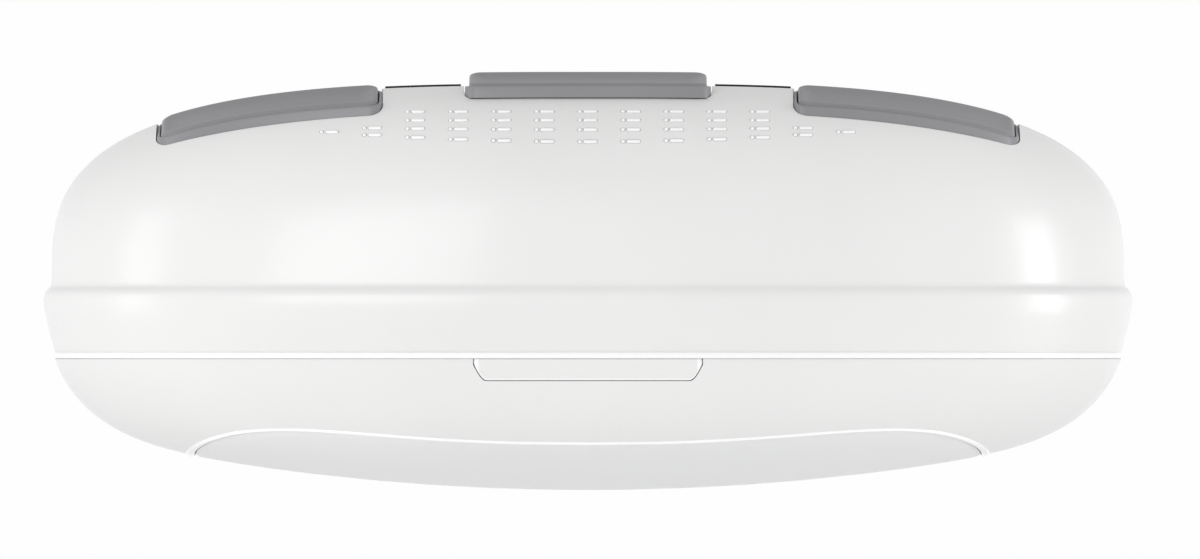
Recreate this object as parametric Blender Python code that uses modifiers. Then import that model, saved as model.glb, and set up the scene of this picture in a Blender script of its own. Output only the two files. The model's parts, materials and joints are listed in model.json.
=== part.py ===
"""Garage door opener: the powerhead that hangs from the ceiling and drives the door's rail.

Sizes in the functions are millimetres, and MM turns them into the scene's metres. Heights are
counted from the split line between the housing and the lower cover, and the empty named
opener lowers everything so that the origin is on the rail seat. X runs across the width, the
front looks towards -Y, and +Z is up.
"""

import math

import bmesh
import bpy
from mathutils import Matrix

MM = 0.001

# Housing above the split line. Seen from the front its crest is an arch.
WALL = 2.6
ARCH_HALF = 207.2
ARCH_SPRING = 29.4
ARCH_RISE = 73.9
ARCH_POWER = 3.18
CREST_HALF_X = 192.0
CREST_HALF_Y = 92.0
CREST_PLAN_POWER = 2.1
CREST_LIP = 7.8
BODY_PLAN_POWER = 2.4
SHOULDER_CENTRE_Y = 40.0
SHOULDER_HALF_Y = 93.0
SHOULDER_RISE = 77.8
SHOULDER_POWER = 3.2
SPLIT_GAP = 0.8
BELT = [(SPLIT_GAP, 205.9, 131.5), (11.0, 208.5, 133.6), (21.0, 210.3, 135.0),
        (25.0, 209.8, 134.6), (27.2, 207.5, 133.2)]

# Lower cover and the oval light lens in its belly.
COVER_HALF_X = 206.0
COVER_HALF_Y = 131.5
BELLY_DEPTH = 51.8
BELLY_RADIUS = 908.0
BELLY_CORNER = 13.0
BELLY_CORNER_FALL = 0.7407
LENS_HALF_X = 152.0
LENS_HALF_Y = 108.5
LENS_POWER = 4.0
LENS_GAP = 0.7

# Push buttons on the crest: extent in x, then front and rear edge forward of the crest, the
# bezel rim's height over the crest at those two edges, and the cap's rise over the rim there.
BUTTONS = {
    "left": dict(x=(-165.3, -78.7), edges=(21.0, -5.0), rim=(-6.6, 0.0), rise=(1.2, 2.9)),
    "centre": dict(x=(-47.0, 47.0), edges=(13.4, -12.6), rim=(-0.1, -0.1), rise=(1.2, 6.6)),
    "right": dict(x=(78.7, 165.3), edges=(21.0, -5.0), rim=(-6.6, 0.0), rise=(1.2, 2.9)),
}
BEZEL_WALL = 1.2
BEZEL_HEIGHT = 4.6
POCKET_DEPTH = 4.9
CAP_GAP = 0.4
CAP_BELOW_RIM = 1.9
BUTTON_CORNER = 5.0

# Vents: columns across the front slope, with the height of each row at the middle.
VENT_PITCH = 16.43
VENT_SLOT = (7.7, 1.8)
VENT_ROWS = [93.2, 89.9, 86.2, 81.6]
VENT_SIDE_LIFT = [0.0, 0.0, 0.8, 2.7]
VENT_FULL_COLUMNS = 4

# Drive train: the output shaft stands on DRIVE_Y, and the worm lies behind it.
SEAT_Z = 99.3
DRIVE_Y = -26.0
WORM_Y = -0.5
WORM_Z = 64.0
WHEEL_RADIUS = 20.0
WHEEL_TEETH = 18
SHAFT_RADIUS = 5.0
SPROCKET_TEETH = 9
GEARBOX_LOW = (-32.0, -52.0, 46.0)
GEARBOX_HIGH = (32.0, 13.0, 94.3)
GEARBOX_WALL = 3.5
MOTOR_X = (-108.0, -35.0)
MOTOR_RADIUS = 26.0
WORM_REACH = 44.0

# Deck inside the crest, folded steel frame, and the dock that takes the rail's end.
DECK_DROP = 6.0
DECK_THICK = 2.4
CHASSIS_X = 62.0
CHASSIS_Y = (-55.0, 72.0)
CHASSIS_TOP = 97.0
SHEET = 2.4
HANGER_PLACES = [(x, y) for x in (-50, 50) for y in (-40, 56)]
DOCK_BOLTS = [(x, y) for x in (-26, 26) for y in (-34, 50)]
DOCK_Y = (-46.0, 70.0)
DOCK_INNER = 17.0
DOCK_WALL = 2.0
DOCK_TOP = 107.0
DOCK_FLANGE = 34.0
DOCK_SPROCKET_HOLE = 13.4
RAIL_NOTCH = ((-21, 60, 96.6), (21, 150, 120))

# Cover hinge at the rear, and the latch paddle at the front with its pivot as (y, z).
HINGE_X = 70.0
HINGE_Y = 135.5
COVER_EDGE_IN_X = 0.986
COVER_EDGE_IN_Y = 0.979
PADDLE_PIVOT = (-126.5, -3.0)
PADDLE_TOP_HALF = 43.5
PADDLE_FOOT_HALF = 38.5
PADDLE_DEPTH = 9.3
PADDLE_THICK = 2.6

# Logic board behind the rear wall, and what shows through the wall.
BOARD_X = (-118.0, -30.0)
BOARD_Y = 98.0
INLET = dict(half_x=24.0, z=(40.0, 64.0), flange_y=(133.6, 135.6))
INLET_BODY = (14.0, 10.0)
TERMINALS = dict(x=(-88.0, -62.0), z=(45.0, 56.0), rear=128.0)
LEARN_X, LEARN_Z, LEARN_RADIUS = -44.0, 50.0, 3.8

FIT = 0.3
HOLE_FIT = 0.6

RING_POINTS = 48


def clear_scene():
    for old in list(bpy.data.objects):
        bpy.data.objects.remove(old)


def collection(name):
    made = bpy.data.collections.new(name)
    bpy.context.scene.collection.children.link(made)
    return made


clear_scene()
PARTS = collection("garage_door_opener")
CUTTERS = collection("cutters")


def empty(name, at=(0, 0, 0), parent=None):
    made = bpy.data.objects.new(name, None)
    made.location = [value * MM for value in at]
    made.parent = parent
    PARTS.objects.link(made)
    return made


ROOT = empty("opener", (0, 0, -SEAT_Z))


def finish(name, colour, roughness, metallic=0.0):
    made = bpy.data.materials.new(name)
    made.use_nodes = True
    shader = made.node_tree.nodes["Principled BSDF"]
    shader.inputs["Base Color"].default_value = (*colour, 1.0)
    shader.inputs["Roughness"].default_value = roughness
    shader.inputs["Metallic"].default_value = metallic
    return made


WHITE_SHELL = finish("white_shell", (0.86, 0.86, 0.85), 0.3)
MILKY_LENS = finish("milky_lens", (0.8, 0.8, 0.79), 0.35)
BUTTON_GREY = finish("button_grey", (0.24, 0.24, 0.25), 0.4)
BLACK_RUBBER = finish("black_rubber", (0.015, 0.015, 0.015), 0.7)
BLACK_DECK = finish("black_deck", (0.03, 0.03, 0.032), 0.6)
BLACK_STEEL = finish("black_steel", (0.04, 0.04, 0.045), 0.45, 0.6)
ZINC_STEEL = finish("zinc_steel", (0.6, 0.6, 0.58), 0.35, 1.0)
CAST_ALUMINIUM = finish("cast_aluminium", (0.55, 0.55, 0.55), 0.5, 1.0)
COPPER_WINDING = finish("copper_winding", (0.5, 0.22, 0.08), 0.4, 0.8)
BRONZE_GEAR = finish("bronze_gear", (0.6, 0.42, 0.16), 0.35, 1.0)
BOARD_GREEN = finish("board_green", (0.02, 0.16, 0.07), 0.45)
PART_BLACK = finish("part_black", (0.02, 0.02, 0.02), 0.5)
TERMINAL_GREEN = finish("terminal_green", (0.05, 0.35, 0.12), 0.5)
LEARN_YELLOW = finish("learn_yellow", (0.75, 0.5, 0.05), 0.45)


def keep(name, mesh, material, parent=ROOT, smooth=True, offset=(0, 0, 0)):
    """Links a mesh as a part. It is drawn in the opener's own frame, whatever its parent."""
    made = bpy.data.objects.new(name, mesh)
    PARTS.objects.link(made)
    made.parent = parent
    made.location = [value * MM for value in offset]
    if parent is not ROOT:
        made.location = made.location - parent.location
    mesh.materials.append(material)
    if smooth:
        mesh.shade_smooth()
        mesh.set_sharp_from_angle(angle=math.radians(35))
    return made


def mesh_from(name, build):
    """A mesh made by a function that fills a bmesh in millimetres."""
    drawn = bmesh.new()
    build(drawn)
    bmesh.ops.scale(drawn, vec=(MM, MM, MM), verts=drawn.verts)
    bmesh.ops.recalc_face_normals(drawn, faces=drawn.faces)
    mesh = bpy.data.meshes.new(name)
    drawn.to_mesh(mesh)
    drawn.free()
    return mesh


def add_box(drawn, low, high):
    new = bmesh.ops.create_cube(drawn, size=1.0)["verts"]
    bmesh.ops.scale(drawn, vec=[b - a for a, b in zip(low, high)], verts=new)
    bmesh.ops.translate(drawn, vec=[(a + b) / 2 for a, b in zip(low, high)], verts=new)


TURN_TO = {"X": ("Y", 90), "Y": ("X", -90), "Z": ("Z", 0)}


def aim(drawn, verts, axis, centre):
    """Turns vertices built about Z so that they lie about another axis, then places them."""
    about, degrees = TURN_TO[axis]
    turn = Matrix.Rotation(math.radians(degrees), 3, about)
    bmesh.ops.rotate(drawn, cent=(0, 0, 0), matrix=turn, verts=verts)
    bmesh.ops.translate(drawn, vec=centre, verts=verts)


def add_cylinder(drawn, radius, length, centre, axis="Z", sides=20):
    new = bmesh.ops.create_cone(
        drawn, cap_ends=True, segments=sides, radius1=radius, radius2=radius, depth=length
    )["verts"]
    aim(drawn, new, axis, centre)


def skin(drawn, rings, wrap):
    """Quads between closed rings of equally many points; wrap joins the last to the first."""
    rows = [[drawn.verts.new(point) for point in ring] for ring in rings]
    count = len(rows[0])
    pairs = list(zip(rows, rows[1:] + rows[:1])) if wrap else list(zip(rows, rows[1:]))
    for lower, upper in pairs:
        for i in range(count):
            j = (i + 1) % count
            drawn.faces.new((lower[i], lower[j], upper[j], upper[i]))
    return rows


def add_tube(drawn, rings):
    """A body whose wall is a closed loop of rings."""
    skin(drawn, rings, wrap=True)


def add_domed(drawn, rings, first_pole, last_pole):
    """A body that closes at a point at each end."""
    rows = skin(drawn, rings, wrap=False)
    for row, pole in ((rows[0], first_pole), (rows[-1], last_pole)):
        tip = drawn.verts.new(pole)
        for i in range(len(row)):
            drawn.faces.new((row[i], row[(i + 1) % len(row)], tip))


def add_bar(drawn, sections):
    """A body through sections, closed by flat ends."""
    rows = skin(drawn, sections, wrap=False)
    drawn.faces.new(rows[0])
    drawn.faces.new(list(reversed(rows[-1])))


def add_block(drawn, rings):
    """A body through rings that are alike front and rear, closed by strips from front to rear."""
    rows = skin(drawn, rings, wrap=False)
    for row in (rows[0], rows[-1]):
        last = len(row) - 1
        for i in range(last // 2):
            drawn.faces.new((row[i], row[i + 1], row[last - i - 1], row[last - i]))


def box(name, low, high, material, parent=ROOT):
    mesh = mesh_from(name, lambda drawn: add_box(drawn, low, high))
    return keep(name, mesh, material, parent, smooth=False)


def cylinder(name, radius, length, centre, material, axis="Z", parent=ROOT, sides=20):
    mesh = mesh_from(name, lambda drawn: add_cylinder(drawn, radius, length, centre, axis, sides))
    return keep(name, mesh, material, parent)


def turned(name, profile, centre, material, axis="Z", parent=ROOT, sides=20):
    """A profile of (radius, height) turned about an axis. It runs down the outer side."""
    mesh = bpy.data.meshes.new(name)
    points = [(radius * MM, 0, height * MM) for radius, height in profile]
    closed = profile[0][0] > 0
    edges = [(i, i + 1) for i in range(len(points) - 1)]
    if closed:
        edges.append((len(points) - 1, 0))
    mesh.from_pydata(points, edges, [])
    made = keep(name, mesh, material, parent, smooth=False, offset=centre)
    about, degrees = TURN_TO[axis]
    made.rotation_euler["XYZ".index(about)] = math.radians(degrees)
    screw = made.modifiers.new("turn", "SCREW")
    screw.steps = screw.render_steps = sides
    screw.use_merge_vertices = True
    screw.merge_threshold = 0.00001
    screw.use_smooth_shade = True
    return made


def helper(name, build):
    """A shape that cuts or joins, kept out of the model."""
    mesh = mesh_from(name, build)
    made = bpy.data.objects.new(name, mesh)
    CUTTERS.objects.link(made)
    made.parent = ROOT
    made.hide_render = True
    made.display_type = "WIRE"
    return made


def boolean(target, name, build, operation="DIFFERENCE"):
    change = target.modifiers.new(name, "BOOLEAN")
    change.operation = operation
    change.solver = "EXACT"
    change.object = helper(f"{target.name}_{name}", build)


def cut(target, name, build):
    boolean(target, name, build)


def join(target, name, build):
    boolean(target, name, build, "UNION")



# Outer surfaces

def signed_power(value, power):
    return math.copysign(abs(value) ** power, value)


def plan_ring(half_x, half_y, power):
    """Superellipse in plan, as (x, y) points round it."""
    ring = []
    for i in range(RING_POINTS):
        turn = 2 * math.pi * i / RING_POINTS
        ring.append((half_x * signed_power(round(math.cos(turn), 9), 2 / power),
                     half_y * signed_power(round(math.sin(turn), 9), 2 / power)))
    return ring


def partner(value, power):
    """The other coordinate of a unit superellipse."""
    return max(0.0, 1.0 - abs(value) ** power) ** (1.0 / power)


def arch(x):
    """Height of the crest over the split line."""
    return ARCH_SPRING + ARCH_RISE * partner(x / ARCH_HALF, ARCH_POWER)


END_RISE = (arch(CREST_HALF_X) - ARCH_SPRING) / ARCH_RISE
FRONT_RISE = partner((CREST_HALF_Y - SHOULDER_CENTRE_Y) / SHOULDER_HALF_Y, SHOULDER_POWER)


def shoulder(level):
    """Half width, end height, half depth and middle height of the ring at a level from 0 to 1."""
    end, front = END_RISE * level, FRONT_RISE * level
    return (ARCH_HALF * partner(end, ARCH_POWER),
            ARCH_SPRING + ARCH_RISE * end,
            SHOULDER_CENTRE_Y + SHOULDER_HALF_Y * partner(front, SHOULDER_POWER),
            ARCH_SPRING + SHOULDER_RISE * front)


def sag(fraction):
    """How far along from middle height to end height a ring lies, at a fraction of its half width."""
    return (arch(0) - arch(fraction * CREST_HALF_X)) / (arch(0) - arch(CREST_HALF_X))


def arched_ring(half_x, end_z, half_y, middle_z, power):
    return [(x, y, middle_z - (middle_z - end_z) * sag(min(1.0, abs(x) / half_x)))
            for x, y in plan_ring(half_x, half_y, power)]


def body_power(level):
    return BODY_PLAN_POWER + (CREST_PLAN_POWER - BODY_PLAN_POWER) * level


def shoulder_inside(level):
    """The ring at a level, moved in by the wall's thickness at its ends and at its middle."""
    step = 0.004
    below, above = shoulder(max(0.0, level - step)), shoulder(min(1.0, level + step))
    half_x, end_z, half_y, middle_z = shoulder(level)
    run, climb = above[0] - below[0], above[1] - below[1]
    length = math.hypot(run, climb)
    half_x, end_z = half_x - WALL * climb / length, end_z + WALL * run / length
    run, climb = above[2] - below[2], above[3] - below[3]
    length = math.hypot(run, climb)
    return half_x, end_z, half_y - WALL * climb / length, middle_z + WALL * run / length


def front_of_shoulder(x, z):
    """Distance of the housing's front slope from the middle plane at this x and height."""
    low, high = 0.0, 1.0
    for _ in range(40):
        level = (low + high) / 2
        half_x, end_z, half_y, middle_z = shoulder(level)
        here = middle_z - (middle_z - end_z) * sag(min(1.0, abs(x) / half_x))
        low, high = (level, high) if here < z else (low, level)
    half_x, _, half_y, _ = shoulder(low)
    return half_y * partner(x / half_x, body_power(low))


def belly(fraction):
    """Depth of the lower cover below the split line, at a fraction of the way out to its edge."""
    out = min(1.0, fraction)
    bowl = BELLY_DEPTH - (COVER_HALF_X * out) ** 2 / (2 * BELLY_RADIUS)
    return bowl * (1.0 - out ** BELLY_CORNER) ** BELLY_CORNER_FALL


def cover_fraction(x, y):
    power = BODY_PLAN_POWER
    return (abs(x / COVER_HALF_X) ** power + abs(y / COVER_HALF_Y) ** power) ** (1 / power)


def front_of_cover(x, z):
    """Distance of the lower cover's front from the middle plane at this x and height."""
    low, high = 0.5, 1.0
    for _ in range(40):
        middle = (low + high) / 2
        low, high = (middle, high) if belly(middle) > -z else (low, middle)
    power = BODY_PLAN_POWER
    rest = low ** power - abs(x / COVER_HALF_X) ** power
    return COVER_HALF_Y * max(0.0, rest) ** (1 / power)


def crest_y(x):
    """Y of the crest's outer edge along the front."""
    return -CREST_HALF_Y * partner(x / CREST_HALF_X, CREST_PLAN_POWER)


# Push buttons

def button_frame(button, inset):
    """Points (x, v) round a button, with v from 0 at its front edge to 1 at its rear edge."""
    start, end = button["x"]
    front, rear = button["edges"]
    half_x, half_f = (end - start) / 2 - inset, (front - rear) / 2 - inset
    corner = BUTTON_CORNER - inset / 2
    straight = [half_x - corner, half_f - corner]
    points = []
    for quarter, (side_x, side_f) in enumerate([(1, 1), (-1, 1), (-1, -1), (1, -1)]):
        for i in range(5):
            turn = math.radians(90 * quarter + 22.5 * i)
            points.append((side_x * straight[0] + corner * math.cos(turn),
                           side_f * straight[1] + corner * math.sin(turn)))
        if quarter in (0, 2):
            for i in range(1, 8):
                along = straight[0] * (1 - i / 4)
                points.append((along if quarter == 0 else -along, side_f * half_f))
    middle_x, middle_f = (start + end) / 2, (front + rear) / 2
    return [(middle_x + x, (front - middle_f - f) / (front - rear)) for x, f in points]


def button_point(button, x, v, height):
    """A point over the bezel's rim line, at x and v."""
    front, rear = button["edges"]
    rim = button["rim"][0] + (button["rim"][1] - button["rim"][0]) * v
    forward = front + (rear - front) * v
    return x, crest_y(x) - forward, arch(x) + rim + height


def button_ring(button, inset, height):
    return [button_point(button, x, v, height) for x, v in button_frame(button, inset)]


def pocket(button):
    def build(drawn):
        floor = button_ring(button, -CAP_GAP, -POCKET_DEPTH)
        add_block(drawn, [floor, [(x, y, z + 30) for x, y, z in floor]])
    return build


def bezel(side):
    button = BUTTONS[side]
    inner = BEZEL_WALL
    rings = [button_ring(button, 0, -BEZEL_HEIGHT), button_ring(button, 0, 0),
             button_ring(button, inner, 0), button_ring(button, inner, -BEZEL_HEIGHT)]
    mesh = mesh_from(f"button_bezel_{side}", lambda drawn: add_tube(drawn, rings))
    return keep(f"button_bezel_{side}", mesh, BUTTON_GREY)


def cap_rise(button, v):
    """Rise of the cap over the rim, from its front lip up to its rear ridge."""
    low, high = button["rise"]
    return low + (high - low) * v ** 1.4


def button_cap(side, parent):
    """A cap with a dished top, and a stem that reaches the switch under the deck."""
    button = BUTTONS[side]
    inset = BEZEL_WALL + CAP_GAP
    wall = button_frame(button, inset)
    top = []
    for step in (0.8, 3.0, 6.5, 9.0):
        top.append([button_point(button, x, v, cap_rise(button, v) - 0.9 * (step < 1))
                    for x, v in button_frame(button, inset + step - 0.8)])
    rings = [[button_point(button, x, v, -CAP_BELOW_RIM) for x, v in wall]] + top
    mesh = mesh_from(f"button_cap_{side}", lambda drawn: add_block(drawn, rings))
    cap = keep(f"button_cap_{side}", mesh, BUTTON_GREY, parent)
    x, y = stem_place(side)
    bottom, top_z = arch(x) - 13.0, arch(x) - 1.0
    join(cap, "stem", lambda drawn: add_cylinder(
        drawn, 2.5, top_z - bottom, (x, y, (bottom + top_z) / 2), sides=16))
    return cap


def stem_place(side):
    """The middle stem stands behind the crest, and the outer ones just in front of it."""
    button = BUTTONS[side]
    x = sum(button["x"]) / 2
    behind = 7.5 if side == "centre" else -4.0
    return x, crest_y(x) + behind


# Housing, deck and cover

def upper_housing():
    levels = [0.2, 0.4, 0.55, 0.67, 0.77, 0.86, 0.94, 1.0]
    rings = [arched_ring(half_x, z, half_y, z, BODY_PLAN_POWER) for z, half_x, half_y in BELT]
    rings += [arched_ring(*shoulder(level), body_power(level)) for level in levels]
    inner_x, inner_y = CREST_HALF_X - WALL, CREST_HALF_Y - WALL
    for depth in (0.0, CREST_LIP):
        rings.append(arched_ring(inner_x, arch(CREST_HALF_X) - depth, inner_y,
                                 arch(0) - depth, CREST_PLAN_POWER))
    for level in reversed(levels[1:6]):
        rings.append(arched_ring(*shoulder_inside(level), body_power(level)))
    for z, half_x, half_y in reversed(BELT[:3]):
        rings.append(arched_ring(half_x - WALL, z, half_y - WALL, z, BODY_PLAN_POWER))
    mesh = mesh_from("upper_housing", lambda drawn: add_tube(drawn, rings))
    housing = keep("upper_housing", mesh, WHITE_SHELL)
    cut(housing, "vents", add_vents)
    for side, button in BUTTONS.items():
        cut(housing, f"pocket_{side}", pocket(button))
    for side in ("left", "right"):
        x, y = stem_place(side)
        cut(housing, f"stem_hole_{side}", lambda drawn, x=x, y=y: add_cylinder(
            drawn, 3.3, 30, (x, y, arch(x) - 15), sides=16))
    cut(housing, "rail_notch", lambda drawn: add_box(drawn, *RAIL_NOTCH))
    half_x, half_z = (half + HOLE_FIT for half in INLET_BODY)
    middle = sum(INLET["z"]) / 2
    cut(housing, "inlet_hole", lambda drawn: add_box(
        drawn, (-half_x, 110, middle - half_z), (half_x, 150, middle + half_z)))
    (start, end), (low, high) = TERMINALS["x"], TERMINALS["z"]
    cut(housing, "terminal_hole", lambda drawn: add_box(
        drawn, (start - HOLE_FIT, 90, low - HOLE_FIT), (end + HOLE_FIT, 150, high + HOLE_FIT)))
    cut(housing, "learn_hole", lambda drawn: add_cylinder(
        drawn, LEARN_RADIUS + HOLE_FIT, 60, (LEARN_X, 120, LEARN_Z), "Y", sides=24))
    return housing


def vent_rows(column):
    """Heights of the slots in a column: the outer columns keep only their lower rows."""
    out = abs(column) / (VENT_FULL_COLUMNS + 1)
    rows = [z + lift * out * out for z, lift in zip(VENT_ROWS, VENT_SIDE_LIFT)]
    if abs(column) <= VENT_FULL_COLUMNS:
        return rows
    return rows[2:] if abs(column) == VENT_FULL_COLUMNS + 1 else rows[3:]


def add_vents(drawn):
    width, height = VENT_SLOT
    for column in range(-VENT_FULL_COLUMNS - 2, VENT_FULL_COLUMNS + 3):
        x = column * VENT_PITCH
        for z in vent_rows(column):
            y = front_of_shoulder(x, z)
            add_box(drawn, (x - width / 2, -y - 8, z - height / 2),
                    (x + width / 2, -y + 8, z + height / 2))


def vent_baffle():
    """White shield behind the vents, which stops a finger or a screwdriver."""
    reach, thick, steps = 104.0, 1.4, 14
    sections = []
    for i in range(steps + 1):
        x = reach * (2 * i / steps - 1)
        levels = [91.2 - 5.2 * (x / reach) ** 2, 85.0, 79.5]
        faces = [-front_of_shoulder(x, z) + WALL + 4.2 for z in levels]
        front = [(x, y, z) for y, z in zip(faces, levels)]
        back = [(x, y + thick, z - thick) for y, z in zip(faces, levels)]
        sections.append(front + back[::-1])
    mesh = mesh_from("vent_baffle", lambda drawn: add_bar(drawn, sections))
    return keep("vent_baffle", mesh, WHITE_SHELL)


def top_deck():
    """Arched cover inside the crest, with an opening for the steel chassis."""
    def ring(scale, drop):
        outline = plan_ring((CREST_HALF_X - WALL - 0.4) * scale,
                            (CREST_HALF_Y - WALL - 0.4) * scale, CREST_PLAN_POWER)
        return [(x, y, arch(x) - drop) for x, y in outline]

    scales = [0.3, 0.6, 0.83, 1.0]
    rings = [ring(scale, DECK_DROP) for scale in scales]
    rings += [ring(scale, DECK_DROP + DECK_THICK) for scale in reversed(scales)]
    poles = [(0, 0, arch(0) - DECK_DROP), (0, 0, arch(0) - DECK_DROP - DECK_THICK)]
    mesh = mesh_from("top_deck", lambda drawn: add_domed(drawn, rings, *poles))
    deck = keep("top_deck", mesh, BLACK_DECK)
    cut(deck, "chassis_opening", lambda drawn: add_box(
        drawn, (-CHASSIS_X - 0.6, CHASSIS_Y[0] - 0.6, 80), (CHASSIS_X + 0.6, CHASSIS_Y[1] + 0.6, 120)))
    cut(deck, "rail_notch", lambda drawn: add_box(drawn, *RAIL_NOTCH))
    x, y = stem_place("centre")
    cut(deck, "stem_hole", lambda drawn: add_cylinder(drawn, 3.3, 30, (x, y, 95), sides=16))
    return deck


def crest_seal(side, start, end):
    """Black strip that closes the joint between crest and deck, between two buttons."""
    steps = 8
    sections = []
    for i in range(steps + 1):
        x = start + (end - start) * i / steps
        front = crest_y(x) + WALL + 0.5
        low, high = arch(x) - DECK_DROP + 0.5, arch(x) + 0.6
        sections.append([(x, front, low), (x, front, high),
                         (x, front + 1.8, high - 0.3), (x, front + 1.8, low)])
    mesh = mesh_from(f"crest_seal_{side}", lambda drawn: add_bar(drawn, sections))
    return keep(f"crest_seal_{side}", mesh, BLACK_RUBBER)


def cover_rings(inset):
    """Rings from the cover's top edge in to the lens opening, moved in by the wall."""
    steps = 8
    edge = plan_ring(COVER_HALF_X, COVER_HALF_Y, BODY_PLAN_POWER)
    opening = plan_ring(LENS_HALF_X, LENS_HALF_Y, LENS_POWER)
    rings = []
    for k in range(steps + 1):
        along = 0.0006 + 0.9994 * (k / steps) ** 2.2
        ring = []
        for (edge_x, edge_y), (open_x, open_y) in zip(edge, opening):
            x, y = edge_x + (open_x - edge_x) * along, edge_y + (open_y - edge_y) * along
            ring.append(on_cover(x, y, inset))
        rings.append(ring)
    return rings


def on_cover(x, y, inset):
    """A point of the cover's outer face at this x and y, moved in along the face's normal."""
    step = 0.02
    z = -belly(cover_fraction(x, y))
    inward = 1.0 - step / math.hypot(x, y)
    out = math.hypot(x, y)
    climb = (z + belly(cover_fraction(x * inward, y * inward))) / step
    if out < 1.0:
        climb = 0.0
    length = math.hypot(1.0, climb)
    side = inset * climb / length / max(out, 1.0)
    return x * (1 - side), y * (1 - side), z + inset / length


def lower_cover(parent):
    outer, inner = cover_rings(0.0), cover_rings(WALL)
    inner = [ring for ring in inner if ring[0][2] < -SPLIT_GAP - 2]
    edge = [(x, y, -SPLIT_GAP) for x, y, _ in outer[0]]
    inner_edge = [(x * COVER_EDGE_IN_X, y * COVER_EDGE_IN_Y, -SPLIT_GAP) for x, y, _ in outer[0]]
    rings = [edge] + outer[2:] + inner[::-1] + [inner_edge]
    mesh = mesh_from("lower_cover", lambda drawn: add_tube(drawn, rings))
    cover = keep("lower_cover", mesh, WHITE_SHELL, parent)
    cut(cover, "latch_notch", lambda drawn: add_bar(drawn, paddle_sections(0.4, -160, -100, 2)))
    for side in (-1, 1):
        x = side * HINGE_X
        join(cover, f"hinge_arm_{side}", lambda drawn, x=x: add_box(
            drawn, (x - 5.5, 124.4, -4.4), (x + 5.5, HINGE_Y, -1.0)))
        join(cover, f"hinge_barrel_{side}", lambda drawn, x=x: add_cylinder(
            drawn, 3.4, 11, (x, HINGE_Y, 0), "X", sides=24))
        cut(cover, f"hinge_bore_{side}", lambda drawn, x=x: add_cylinder(
            drawn, 1.75, 20, (x, HINGE_Y, 0), "X", sides=16))
    return cover


def light_lens(parent):
    scales = [0.3, 0.6, 0.82, 1.0]

    def ring(scale, inset):
        half_x, half_y = LENS_HALF_X - LENS_GAP, LENS_HALF_Y - LENS_GAP
        return [on_cover(x, y, inset) for x, y in plan_ring(half_x * scale, half_y * scale, LENS_POWER)]

    outer = [ring(scale, 0.0) for scale in scales]
    inner = [ring(scale, WALL) for scale in reversed(scales)]
    poles = [(0, 0, -BELLY_DEPTH), (0, 0, WALL - BELLY_DEPTH)]
    mesh = mesh_from("light_lens", lambda drawn: add_domed(drawn, outer + inner, *poles))
    return keep("light_lens", mesh, MILKY_LENS, parent)


# Latch: a finger paddle at the front of the cover

def paddle_sections(grow, front, back, steps):
    """Sections along x of the paddle's outline, grown all round; front and back are y."""
    half = PADDLE_TOP_HALF + grow
    stations = [-half, -PADDLE_FOOT_HALF - grow]
    stations += [PADDLE_FOOT_HALF * (2 * i / steps - 1) for i in range(1, steps)]
    stations += [PADDLE_FOOT_HALF + grow, half]
    sections = []
    for x in stations:
        reach = (half - abs(x)) / (half - PADDLE_FOOT_HALF - grow)
        foot = -(PADDLE_DEPTH + grow) * min(1.0, 0.35 + 0.65 * reach)
        top = -SPLIT_GAP - 0.1 if grow == 0 else 4.0
        if front is None:
            faces = [-front_of_cover(x, z) - 0.3 for z in (-2.0, max(foot, -9.0))]
            rear = faces[0] + PADDLE_THICK
            sections.append([(x, faces[0], top), (x, faces[1], foot), (x, rear, foot), (x, rear, top)])
        else:
            sections.append([(x, front, top), (x, front, foot), (x, back, foot), (x, back, top)])
    return sections


def latch_paddle(parent):
    mesh = mesh_from("latch_paddle", lambda drawn: add_bar(
        drawn, paddle_sections(0, None, None, 12)))
    paddle = keep("latch_paddle", mesh, WHITE_SHELL, parent)
    y, z = PADDLE_PIVOT
    join(paddle, "lug", lambda drawn: add_box(drawn, (-9, y - 4.5, z - 2.6), (9, y + 2.6, z + 2.0)))
    join(paddle, "hook_arm", lambda drawn: add_box(drawn, (-7, y - 1.4, z), (7, y + 2.6, 8.6)))
    join(paddle, "hook_nose", lambda drawn: add_box(drawn, (-7, y - 1.5, 6.8), (7, y + 1, 8.6)))
    cut(paddle, "pin_bore", lambda drawn: add_cylinder(drawn, 1.45, 40, (0, y, z), "X", sides=16))
    return paddle


def latch_bearers(cover_parent):
    y, z = PADDLE_PIVOT
    cylinder("latch_pin", 1.1, 30, (0, y, z), ZINC_STEEL, "X", cover_parent, sides=16)
    for side, name in ((-1, "latch_bearer_left"), (1, "latch_bearer_right")):
        x = side * 12.0
        bearer = box(name, (x - 2, y - 1.75, -7.0), (x + 2, y + 8.5, -0.6), WHITE_SHELL, cover_parent)
        join(bearer, "foot", lambda drawn, x=x: add_box(
            drawn, (x - 2, y + 3.0, -14.5), (x + 2, y + 8.5, -5.0)))
        cut(bearer, "bore", lambda drawn, x=x: add_cylinder(drawn, 1.4, 12, (x, y, z), "X", sides=16))


# Steel frame, rail dock and base

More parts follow.
